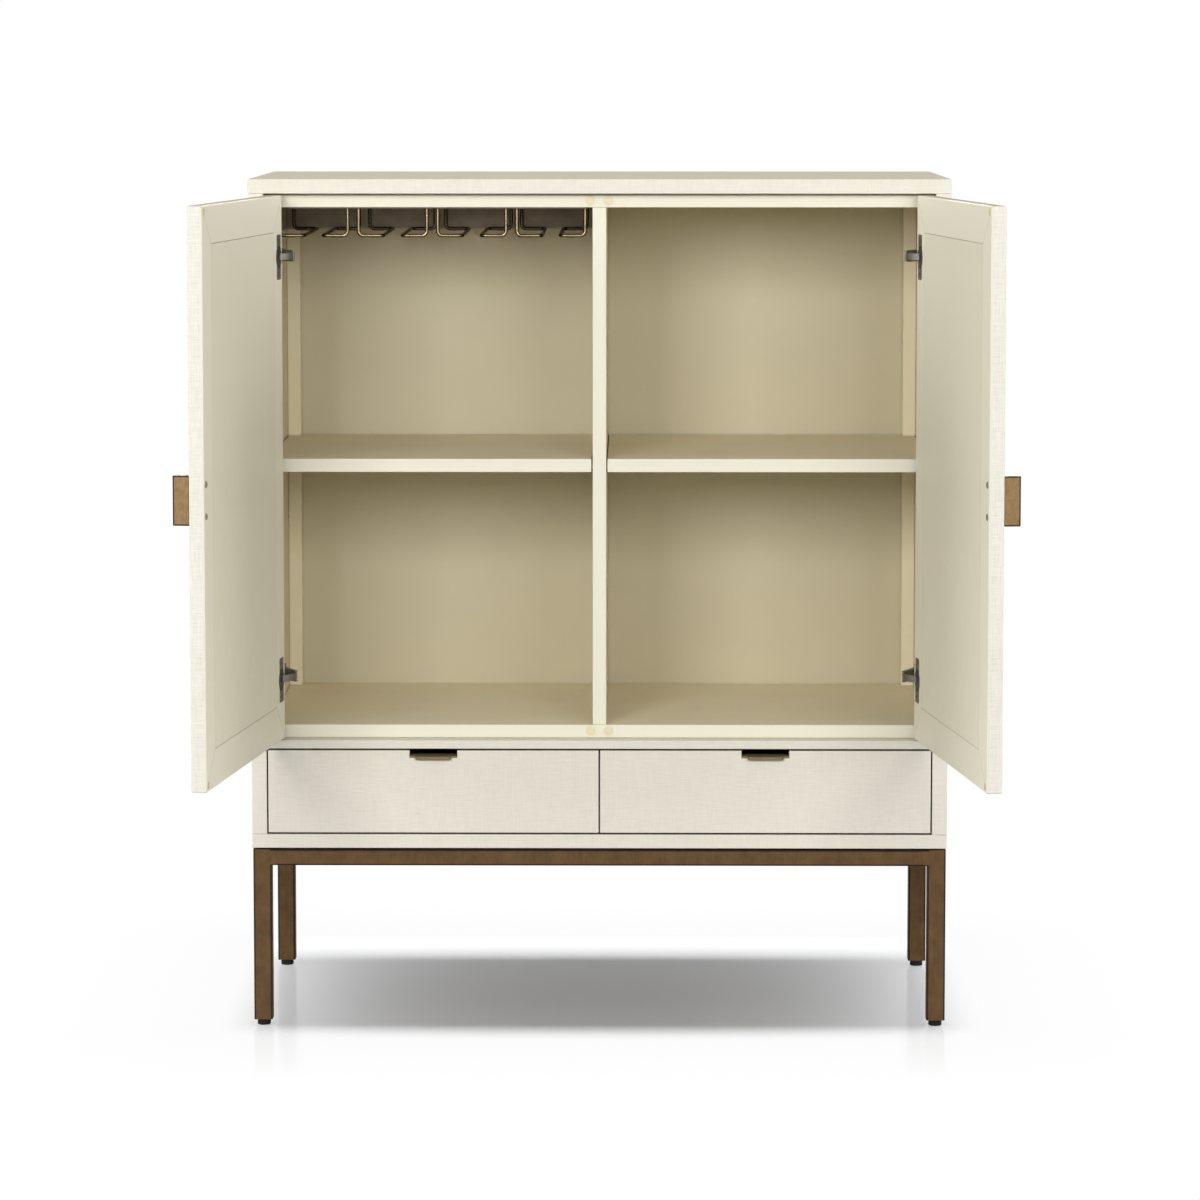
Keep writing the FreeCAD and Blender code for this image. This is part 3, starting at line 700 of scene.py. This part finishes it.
def tubeCorners(tree, spot):
    # 1 along the corners of the square tubes, where two of their side planes meet; the dark line
    # painted there stands in for the shaded side faces
    low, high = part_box("front_legs")
    backLow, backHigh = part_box("back_legs")
    railLow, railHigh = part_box("front_rail")
    inner = high.x - (high.y - low.y)
    slack = tubeLook["slack"]
    x, y, z = split(tree, spot)
    x = maths(tree, "ABSOLUTE", x)
    near = [remap(tree, offLines(tree, *lines), *tubeLook["cornerLine"])
            for lines in ((x, high.x, inner), (y, low.y, high.y, backLow.y, backHigh.y),
                          (z, railLow.z, railHigh.z))]
    front = maths(tree, "LESS_THAN", y, high.y + slack)
    back = maths(tree, "GREATER_THAN", y, backLow.y - slack)
    inLeg = times(tree, maths(tree, "GREATER_THAN", x, inner - slack),
                  maths(tree, "MAXIMUM", front, back))
    level = maths(tree, "MAXIMUM", times(tree, near[1], near[2]), times(tree, near[0], near[2]))
    level = times(tree, level, maths(tree, "SUBTRACT", 1.0, inLeg))
    return maths(tree, "MAXIMUM", times(tree, near[0], near[1]), level)


def pullEdges(tree, spot, name, turn):
    # 1 along the eased edges of a door pull, apart from those that lie on the door
    box = turnedBox(name, turn)
    place = split(tree, turned(tree, spot, turn))
    aside, level = inset(tree, place, box, 0), inset(tree, place, box, 2)
    ahead = maths(tree, "SUBTRACT", place[1], box[0].y)
    # the nearest face is the one the spot is on, and the next nearest gives the edge
    least, most = maths(tree, "MINIMUM", aside, level), maths(tree, "MAXIMUM", aside, level)
    second = maths(tree, "MAXIMUM", least, maths(tree, "MINIMUM", most, ahead))
    return remap(tree, second, *pullLook["edgeLine"])


def makeMetal(name, look):
    material, tree, inputs, spot, facing = newMaterial(name)
    skin = useGroup(tree, metalSkin, Vector=spot, Streak=look["streak"], Blotch=look["blotch"])
    crease = useGroup(tree, creaseShade, Reach=look["creaseReach"],
                      Depth=look["creaseDepth"])["Mask"]
    if look["tube"]:
        # the welds are ground flush, so the painted shade along edges and in gaps is left off there
        clear = weldClear(tree, spot)
        edge = times(tree, tubeCorners(tree, spot), clear)
        crease = times(tree, crease, clear)
    else:
        edge = useGroup(tree, edgeShadeAndWear, Vector=spot, Reach=look["edgeReach"],
                        Break=look["edgeBreak"], Even=look["even"])["Mask"]
    if look["pull"]:
        edge = maths(tree, "MAXIMUM", edge, pullEdges(tree, spot, *look["pull"]))
    base = blendColor(tree, look["base"], look["dark"], skin["Patina"], look["patinaShow"])
    base = blendColor(tree, base, look["bright"], skin["Streaks"], look["streakShow"])
    # painted shade: dark lines along the edges and in the creases
    base = blendColor(tree, base, look["edge"], edge, look["edgeShow"])
    base = blendColor(tree, base, look["edge"], crease)
    if look["far"]:
        # painted shade: the wires are painted darker towards the back of the bay
        depth = remap(tree, split(tree, spot)[1], *look["farPlace"])
        base = blendColor(tree, base, look["edge"], depth, look["far"])
    if look["rim"]:
        # painted shade: a round or bent piece is painted darker where it turns away from the view
        away = addNode(tree, "ShaderNodeLayerWeight").outputs["Facing"]
        base = blendColor(tree, base, look["edge"], remap(tree, away, *look["rimPlace"]),
                          look["rim"])
    rough = maths(tree, "MULTIPLY_ADD", skin["Patina"], look["patinaRough"],
                  look["roughness"] - look["patinaRough"] / 2)
    rough = maths(tree, "MULTIPLY_ADD", skin["Streaks"], look["streakRough"], rough)
    height = maths(tree, "MULTIPLY_ADD", skin["Streaks"], look["streakHeight"], skin["Grain"])
    dress(tree, inputs, base, rough, look["shine"], height, look["relief"], look["reliefShow"])
    inputs["Metallic"].default_value = look["metallic"]
    return material


mouldedLooks = {
    "blackNylon": {"base": color(17, 16, 15), "light": color(36, 34, 33), "roughness": 0.5,
                   "coat": 0.0},
    "feltPad": {"base": color(40, 38, 36), "light": color(70, 68, 64), "roughness": 0.9,
                "coat": 0.0},
    "amberBumper": {"base": color(231, 219, 178), "light": color(240, 231, 200),
                    "roughness": 0.3, "coat": 0.25},
    "amberStrike": {"base": color(214, 190, 124), "light": color(230, 210, 154),
                    "roughness": 0.4, "coat": 0.1},
}
mouldedShape = {
    "cloudSize": 0.006,
    "cloudShow": 0.4,
    "peelSize": 0.0004,
    "edgeReach": 0.0008,
    "edgeBreak": 0.003,
    "roughSpread": 0.12,
    "shine": 0.2,
    "relief": 0.00004,
    "reliefShow": 0.5,
}


def makeMoulded(name, look):
    material, tree, inputs, spot, facing = newMaterial(name)
    shape = mouldedShape
    film = useGroup(tree, sprayedFilm, Vector=spot, CloudSize=shape["cloudSize"],
                    PeelSize=shape["peelSize"])
    edge = useGroup(tree, edgeShadeAndWear, Vector=spot, Reach=shape["edgeReach"],
                    Break=shape["edgeBreak"])["Mask"]
    wear = maths(tree, "MAXIMUM", times(tree, film["Clouds"], shape["cloudShow"]), edge)
    base = blendColor(tree, look["base"], look["light"], wear)
    rough = maths(tree, "MULTIPLY_ADD", film["Clouds"], shape["roughSpread"], look["roughness"])
    dress(tree, inputs, base, rough, shape["shine"], film["Peel"], shape["relief"],
          shape["reliefShow"])
    inputs["Coat Weight"].default_value = look["coat"]
    return material


finishes = {}
for make, looks in ((makeLinen, linenLooks), (makeLacquer, lacquerLooks),
                    (makeBirch, {"birch": birchLook}), (makeMetal, metalLooks),
                    (makeMoulded, mouldedLooks)):
    for name, look in looks.items():
        finishes[name] = make(name, look)


def pair(name):
    return ["left_" + name, "right_" + name]


finishOf = {
    "linenTop": ["top_panel"],
    "linenSides": pair("side_panel"),
    "linenCase": ["bottom_panel", "mid_panel", *pair("drawer_front")],
    "linenLeftDoor": ["left_door_panel"],
    "linenRightDoor": ["right_door_panel"],
    "lacquerBack": ["back_panel"],
    "lacquerBattens": ["rear_battens"],
    "lacquer": ["inner_top", "centre_divider", "drawer_partition", *pair("shelf")],
    "lacquerFloor": ["inner_bottom"],
    "lacquerLeftDoor": ["left_door_lining"],
    "lacquerRightDoor": ["right_door_lining"],
    "birch": pair("drawer_walls") + pair("drawer_bottom"),
    "bronzeTube": ["front_legs", "back_legs", "front_rail", "back_rail", "side_rails"],
    "rackWire": ["stemware_channel_1", "stemware_channel_2", "stemware_channel_3",
                 "stemware_channel_4", "stemware_screws"],
    "stopPlate": ["stemware_strips", "stemware_stop_plates"],
    "leftBrass": ["left_door_pull"],
    "rightBrass": ["right_door_pull"],
    "drawerLip": pair("drawer_pull"),
    "nickel": [*pair("hinge_arms"), *pair("hinge_cups"), *pair("hinge_links"), "hinge_plates",
               "hinge_pins", "shelf_pins"],
    "screwSteel": ["hinge_screws", *pair("door_fittings"), "base_screws"],
    "zinc": ["runner_case_members", *pair("runner_middle_members"),
             *pair("runner_drawer_members")],
    "blackNylon": ["leg_glides"],
    "feltPad": ["base_pads"],
    "amberBumper": ["door_bumpers"],
}
for finish, names in finishOf.items():
    for name in names:
        piece = nodes[name]
        if not piece.material_slots:
            piece.data.materials.append(finishes[finish])
        for place in piece.material_slots:
            place.material = finishes[finish]
print("finishes on", sum(len(names) for names in finishOf.values()), "nodes")


# fasteners: found in the frame, redrawn with their recesses

def islandsOf(name):
    # the corners of each separate solid in a node
    mesh = nodes[name].data
    spots, owner, leader = {}, [], []
    for corner in mesh.vertices:
        key = tuple(round(value * 1e5) for value in corner.co)
        if key not in spots:
            spots[key] = len(leader)
            leader.append(len(leader))
        owner.append(spots[key])

    def top(index):
        while leader[index] != index:
            leader[index] = leader[leader[index]]
            index = leader[index]
        return index

    for face in mesh.polygons:
        first = top(owner[face.vertices[0]])
        for corner in face.vertices[1:]:
            leader[top(owner[corner])] = first
            first = top(first)
    groups = {}
    for corner in mesh.vertices:
        groups.setdefault(top(owner[corner.index]), []).append(corner.co.copy())
    return list(groups.values())


# a solid flatter than this is a strike, and any other is a screw
flatDisc = 0.003


def headSpots(name, axis, size):
    # where each head sits: its seat, the way it faces, and its radius and height
    heads, discs = [], []
    for corners in islandsOf(name):
        middle = sum(corners, Vector()) / len(corners)
        along = [(corner - middle).dot(axis) for corner in corners]
        spot = (middle + axis * (max(along) - size[1]), axis, size)
        (discs if max(along) - min(along) < flatDisc else heads).append(spot)
    return heads, discs


headLook = {
    "segments": 32,
    "rings": (0.12, 0.24, 0.36, 0.48, 0.62, 0.76, 0.88, 0.95, 1.0),
    "armWidth": 0.105,
    "armLength": 0.58,
    "armDepth": 0.75,
    "armTaper": 0.5,
    "dome": 0.4,
    "shoulderFrom": 0.9,
    "shoulder": 0.8,
    "sharpFrom": 35,
}


def makeHeadMesh(name, recess=True):
    # a head of radius 1 and height 1 with a cross cut in it
    look = headLook
    shape = bmesh.new()
    last = None
    middle = shape.verts.new((0, 0, 1 - (look["armDepth"] if recess else 0)))
    for radius in look["rings"]:
        ring = []
        for step in range(look["segments"]):
            turn = 2 * math.pi * step / look["segments"]
            x, y = radius * math.cos(turn), radius * math.sin(turn)
            height = 1 - look["dome"] * radius ** 2
            if radius > look["shoulderFrom"]:
                height *= look["shoulder"] if radius < 1 else 0.0
            near, far = sorted((abs(x), abs(y)))
            if recess and near < look["armWidth"] and far < look["armLength"]:
                height -= look["armDepth"] * (1 - look["armTaper"] * radius)
            ring.append(shape.verts.new((x, y, height)))
        for step in range(look["segments"]):
            after = (step + 1) % look["segments"]
            if last is None:
                shape.faces.new((middle, ring[step], ring[after]))
            else:
                shape.faces.new((last[step], ring[step], ring[after], last[after]))
        last = ring
    shape.faces.new(list(reversed(last)))
    return inScene(name, meshOf(shape, name))


def makeHeadTree():
    # one head on every point, turned to face out and spun at random
    tree = bpy.data.node_groups.new("headsOnPoints", "GeometryNodeTree")
    sockets = tree.interface
    for label, kind in (("Points", "Geometry"), ("Head", "Object"), ("Finish", "Material"),
                        ("Seed", "Int")):
        sockets.new_socket(label, in_out="INPUT", socket_type="NodeSocket" + kind)
    sockets.new_socket("Heads", in_out="OUTPUT", socket_type="NodeSocketGeometry")
    given = addNode(tree, "NodeGroupInput").outputs
    leave = addNode(tree, "NodeGroupOutput").inputs
    stored = {}
    for name in ("facing", "size"):
        value = addNode(tree, "GeometryNodeInputNamedAttribute", data_type="FLOAT_VECTOR")
        value.inputs["Name"].default_value = name
        stored[name] = value.outputs["Attribute"]
    out = addNode(tree, "FunctionNodeAlignRotationToVector", axis="Z")
    feed(tree, out.inputs["Vector"], stored["facing"])
    chance = addNode(tree, "FunctionNodeRandomValue", data_type="FLOAT")
    chance.inputs[3].default_value = math.pi
    feed(tree, chance.inputs["Seed"], given["Seed"])
    spin = addNode(tree, "FunctionNodeAxisAngleToRotation")
    spin.inputs["Axis"].default_value = (0, 0, 1)
    feed(tree, spin.inputs["Angle"], chance.outputs[1])
    turn = addFed(tree, "FunctionNodeRotateRotation", (out.outputs[0], spin.outputs[0]),
                  rotation_space="LOCAL")
    head = addNode(tree, "GeometryNodeObjectInfo")
    feed(tree, head.inputs["Object"], given["Head"])
    put = addNode(tree, "GeometryNodeInstanceOnPoints")
    for name, value in (("Points", given["Points"]), ("Instance", head.outputs["Geometry"]),
                        ("Rotation", turn[0]), ("Scale", stored["size"])):
        feed(tree, put.inputs[name], value)
    real = addFed(tree, "GeometryNodeRealizeInstances", [put.outputs[0]])
    dressed = addNode(tree, "GeometryNodeSetMaterial")
    feed(tree, dressed.inputs["Geometry"], real[0])
    feed(tree, dressed.inputs["Material"], given["Finish"])
    feed(tree, leave["Heads"], dressed.outputs[0])
    return tree


def applied(holder, tree, values):
    # runs a geometry tree on the holder and gives back a plain mesh
    modifier = holder.modifiers.new(tree.name, "NODES")
    modifier.node_group = tree
    for item in tree.interface.items_tree:
        if item.item_type == "SOCKET" and item.in_out == "INPUT" and item.name in values:
            modifier[item.identifier] = values[item.name]
    bpy.context.view_layer.update()
    ready = holder.evaluated_get(bpy.context.evaluated_depsgraph_get())
    mesh = bpy.data.meshes.new_from_object(ready)
    holder.modifiers.remove(modifier)
    return mesh


def putHeads(name, spots, head, finish, body, stands=(), seed=3):
    points = bpy.data.meshes.new(name + "Points")
    points.from_pydata([spot[0] for spot in spots], [], [])
    facing = points.attributes.new("facing", "FLOAT_VECTOR", "POINT")
    size = points.attributes.new("size", "FLOAT_VECTOR", "POINT")
    for index, (seat, way, (radius, height)) in enumerate(spots):
        facing.data[index].vector = way
        size.data[index].vector = (radius, radius, height)
    holder = inScene(name + "Points", points)
    mesh = applied(holder, headTree, {"Head": head, "Finish": finishes[finish], "Seed": seed})
    bpy.data.objects.remove(holder)
    mesh.name = name
    for face in mesh.polygons:
        face.use_smooth = True
    mesh.set_sharp_from_angle(angle=math.radians(headLook["sharpFrom"]))
    piece = inScene(name, mesh)
    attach(piece, body)
    if stands:
        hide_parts(*stands)


# radius and height of each kind of head
screwSizes = {
    "plate": (0.0036, 0.0016),
    "cup": (0.0036, 0.0016),
    "pull": (0.0049, 0.0017),
    "rack": (0.0036, 0.0016),
    "strike": (0.005, 0.0006),
    "back": (0.0034, 0.0009),
}
screwPlaces = {"nearPull": 0.1, "strikeSunk": 0.0001, "backFromEdge": 0.016, "backEvery": 0.19}
headTree = makeHeadTree()
crossHead = makeHeadMesh("crossHead")
plainHead = makeHeadMesh("plainHead", recess=False)

for side, sign in (("left", -1), ("right", 1)):
    inward = Vector((-sign * math.sin(openAngle), math.cos(openAngle), 0.0))
    heads, discs = headSpots(side + "_door_fittings", inward, screwSizes["cup"])
    edge = nodes[side + "_door_pull"].data.vertices[0].co
    spots = []
    for seat, way, size in heads:
        if (seat - edge).length < screwPlaces["nearPull"]:
            # the pull's own screws have wide heads that stand on the inside face
            onLining = screwSizes["cup"][1] - screwSizes["pull"][1]
            seat, size = seat + way * onLining, screwSizes["pull"]
        spots.append((seat, way, size))
    putHeads(side + "DoorScrews", spots, crossHead, "pullScrew", side + "_door",
             [side + "_door_fittings"])
    # the strikes lie just under the lining's face, where the bumpers meet them
    sunk = screwSizes["cup"][1] - screwSizes["strike"][1] - screwPlaces["strikeSunk"]
    discs = [(seat + way * sunk, way, screwSizes["strike"]) for seat, way, size in discs]
    putHeads(side + "DoorStrikes", discs, plainHead, "amberStrike", side + "_door")

wallScrews = []
for corners in islandsOf("hinge_screws"):
    middle = sum(corners, Vector()) / len(corners)
    way = Vector((-1.0 if middle.x > 0 else 1.0, 0.0, 0.0))
    inner = min(corners, key=lambda corner: abs(corner.x))
    y, z = [[corner[axis] for corner in corners] for axis in (1, 2)]
    seat = Vector((inner.x, (min(y) + max(y)) / 2, (min(z) + max(z)) / 2))
    wallScrews.append((seat - way * screwSizes["plate"][1], way, screwSizes["plate"]))
putHeads("hingePlateScrews", wallScrews, crossHead, "screwSteel", "case",
         ["hinge_screws"])
rackScrews = headSpots("stemware_screws", Vector((0, 0, -1)), screwSizes["rack"])[0]
putHeads("rackScrews", rackScrews, crossHead, "rackWire", "case",
         ["stemware_screws"])


def backScrewSpots():
    # along the back panel's edges, evenly spaced
    low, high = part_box("back_panel")
    margin = screwPlaces["backFromEdge"]
    left, right, down, up = low.x + margin, high.x - margin, low.z + margin, high.z - margin
    corners = [(left, down), (right, down), (right, up), (left, up)]
    spots = []
    for start, end in zip(corners, corners[1:] + corners[:1]):
        count = max(1, round(math.dist(start, end) / screwPlaces["backEvery"]))
        for step in range(count):
            share = step / count
            x, z = [first + (last - first) * share for first, last in zip(start, end)]
            spots.append((Vector((x, high.y, z)), Vector((0, 1, 0)), screwSizes["back"]))
    return spots


putHeads("backPanelScrews", backScrewSpots(), crossHead, "screwSteel", "case",
         seed=8)
bpy.data.objects.remove(crossHead)
bpy.data.objects.remove(plainHead)
print("fasteners placed")


# welds between the legs and the rails, ground flush

weldLook = {"side": 0.0026, "fromEdge": 0.0016}


def makeWelds():
    side = weldLook["side"]
    low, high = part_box("front_legs")
    backLow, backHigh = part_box("back_legs")
    railLow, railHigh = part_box("front_rail")
    bottom, top = railLow.z + weldLook["fromEdge"], railHigh.z
    # each filling's corner, the way into the joint and the way down the other side of it
    corners = []
    for sign in (-1, 1):
        for y, way in ((low.y, 1), (high.y, -1), (backLow.y, 1), (backHigh.y, -1)):
            corners.append((sign * railHigh.x, y, sign, 0, 0, way))
        for y, way in ((high.y, -1), (backLow.y, 1)):
            corners.append((sign * high.x, y, 0, way, -sign, 0))
    shape = bmesh.new()
    for x, y, intoX, intoY, downX, downY in corners:
        flat = [(x, y), (x + intoX * side, y + intoY * side),
                (x + downX * side, y + downY * side)]
        rings = [[shape.verts.new((*spot, z)) for spot in flat] for z in (bottom, top)]
        for step in range(3):
            after = (step + 1) % 3
            shape.faces.new((rings[0][step], rings[0][after], rings[1][after], rings[1][step]))
        shape.faces.new(rings[0])
        shape.faces.new(rings[1])
    bmesh.ops.recalc_face_normals(shape, faces=shape.faces)
    piece = inScene("legWelds", meshOf(shape, "legWelds"))
    piece.data.materials.append(finishes["bronzeTube"])
    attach(piece, "case")


makeWelds()
print("welds made")


# studio

# each lamp's place, size and level
lampLook = {
    "frontLeft": ((-1.7, -4.8, 2.2), (1.6, 1.5), 0.44),
    "frontRight": ((1.7, -4.8, 2.2), (1.6, 1.5), 0.3),
    "behind": ((0.0, 4.9, 2.0), (2.4, 2.0), 0.5),
    "sideLeft": ((-5.0, -0.8, 1.9), (1.8, 1.8), 0.42),
    "sideRight": ((5.0, -0.8, 1.9), (1.8, 1.8), 0.42),
    "overTop": ((0.0, 0.6, 6.0), (3.0, 3.0), 0.16),
    "aboveFloor": ((0.0, 0.178, 4.8), (18.0, 0.5), 2.6),
}
studio = {
    "lampAim": (0.0, 0.0, 0.75),
    "floorAim": (0.0, 0.178, 0.0),
    "skyLight": 0.24,
    "floorGain": 1.05,
    "floorBounce": 0.34,
    "floorRadius": 6.0,
    "floorSides": 96,
    "floorTint": (0.965, 0.975, 1.0),
    "fadeInset": (-0.03, 0.06, 0.0),
    "fadeShift": (0.0, 0.055, 0.0),
    "fadeEnd": 0.09,
    "shineEnd": 0.34,
    "floorShine": 0.58,
    "floorBlur": 0.14,
    "filmBend": 1.4,
}
lensLook = {
    "place": (0.0512, -6.163, 1.4026),
    "length": 128.12,
    "sensor": 36.0,
    "down": 5.2,
    "turn": 0.466,
    "shift": -0.12,
}


def softBox(name, aim):
    # its level is how bright the lamp alone shows a white card at the aim
    place, size, level = lampLook[name]
    lamp = bpy.data.lights.new(name, "AREA")
    lamp.shape = "RECTANGLE"
    lamp.size, lamp.size_y = size
    away = Vector(place) - Vector(aim)
    lamp.energy = level * math.pi ** 2 * away.length_squared
    made = inScene(name, lamp)
    made.location = place
    made.rotation_euler = away.to_track_quat("Z", "Y").to_euler()
    return made


def linkLight(name, lamps, role, pieces, state):
    kept = bpy.data.collections.new(name)
    for piece in pieces:
        kept.objects.link(piece)
    for lamp in lamps:
        setattr(lamp.light_linking, role + "_collection", kept)
    for entry in kept.collection_objects:
        entry.light_linking.link_state = state


def shareLamps(lamps, floor):
    # the low lamps would wash out the shadow under the case, so the floor is left out of them,
    # and the long lamp that casts it lights the floor alone
    *low, above = lamps
    linkLight("lowLampsReach", low, "receiver", [floor], "EXCLUDE")
    linkLight("floorLampReaches", [above], "receiver", [floor], "INCLUDE")
    # the long lamp would draw each leg's shadow as a hard line along the case's own
    thin = [nodes[name] for name in ("front_legs", "back_legs", "leg_glides")]
    linkLight("legsLeftOut", [above], "blocker", thin, "EXCLUDE")


def makeSky():
    world = bpy.data.worlds.new("studioSky")
    world.use_nodes = True
    tree = world.node_tree
    tree.nodes.clear()
    rays = addNode(tree, "ShaderNodeLightPath").outputs
    seen = maths(tree, "MAXIMUM", rays["Is Camera Ray"], rays["Is Glossy Ray"])
    seen = maths(tree, "MAXIMUM", seen, rays["Is Transmission Ray"])
    level = remap(tree, seen, 0.0, 1.0, studio["skyLight"], 1.0)
    shine = addFed(tree, "ShaderNodeBackground", ((1.0, 1.0, 1.0, 1.0), level))
    addFed(tree, "ShaderNodeOutputWorld", [shine[0]])
    bpy.context.scene.world = world


def makeFloor():
    shape = bmesh.new()
    bmesh.ops.create_circle(shape, cap_ends=True, segments=studio["floorSides"],
                            radius=studio["floorRadius"])
    floor = inScene("floor", meshOf(shape, "floor"))
    material = bpy.data.materials.new("studioFloor")
    material.use_nodes = True
    tree = material.node_tree
    tree.nodes.clear()
    place = addNode(tree, "ShaderNodeTexCoord").outputs["Object"]
    rays = addNode(tree, "ShaderNodeLightPath").outputs
    # the camera sees the floor a little brighter than it is, so it is white outside the shadow
    gain = remap(tree, rays["Is Camera Ray"], 0.0, 1.0, studio["floorBounce"],
                 studio["floorGain"])
    tint = vectorMaths(tree, "MULTIPLY", studio["floorTint"], gain)
    mat = addFed(tree, "ShaderNodeBsdfDiffuse", [tint])[0]
    glow = addNode(tree, "ShaderNodeEmission").outputs[0]
    # the floor turns white a little way past the case's shadow
    low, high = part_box("bottom_panel")
    middle = (low + high) / 2 + Vector(studio["fadeShift"])
    half = (high - low) / 2 + Vector(studio["fadeInset"])
    beside = vectorMaths(tree, "SUBTRACT", place, (middle.x, middle.y, 0.0))
    past = vectorMaths(tree, "SUBTRACT", vectorMaths(tree, "ABSOLUTE", beside),
                       (half.x, half.y, 0.0))
    off = vectorMaths(tree, "LENGTH", vectorMaths(tree, "MAXIMUM", past, (0.0, 0.0, 0.0)))
    fade = remap(tree, off, 0.0, studio["fadeEnd"], ease="SMOOTHSTEP")
    seen = maths(tree, "MAXIMUM", rays["Is Camera Ray"], rays["Is Glossy Ray"])
    both = addFed(tree, "ShaderNodeMixShader", (times(tree, fade, seen), mat, glow))[0]
    gloss = addNode(tree, "ShaderNodeBsdfGlossy")
    gloss.inputs["Roughness"].default_value = studio["floorBlur"]
    film = addNode(tree, "ShaderNodeFresnel")
    film.inputs["IOR"].default_value = studio["filmBend"]
    # the shine dies away from the feet, as on a sheet of satin paper
    shine = remap(tree, off, 0.0, studio["shineEnd"], studio["floorShine"], 0.0)
    shine = times(tree, film.outputs[0], shine)
    sheet = addFed(tree, "ShaderNodeMixShader", (shine, both, gloss.outputs[0]))
    addFed(tree, "ShaderNodeOutputMaterial", [sheet[0]])
    floor.data.materials.append(material)
    return floor


def makeCamera():
    lens = bpy.data.cameras.new("camera")
    lens.sensor_width = lensLook["sensor"]
    lens.lens = lensLook["length"]
    lens.shift_y = lensLook["shift"]
    made = inScene("camera", lens)
    made.location = lensLook["place"]
    made.rotation_euler = (math.radians(90 - lensLook["down"]), 0.0,
                           math.radians(lensLook["turn"]))
    bpy.context.scene.camera = made


lamps = [softBox(name, studio["floorAim" if name == "aboveFloor" else "lampAim"])
         for name in lampLook]
shareLamps(lamps, makeFloor())
makeSky()
makeCamera()
bpy.context.scene.view_settings.view_transform = "Standard"
print("studio ready")
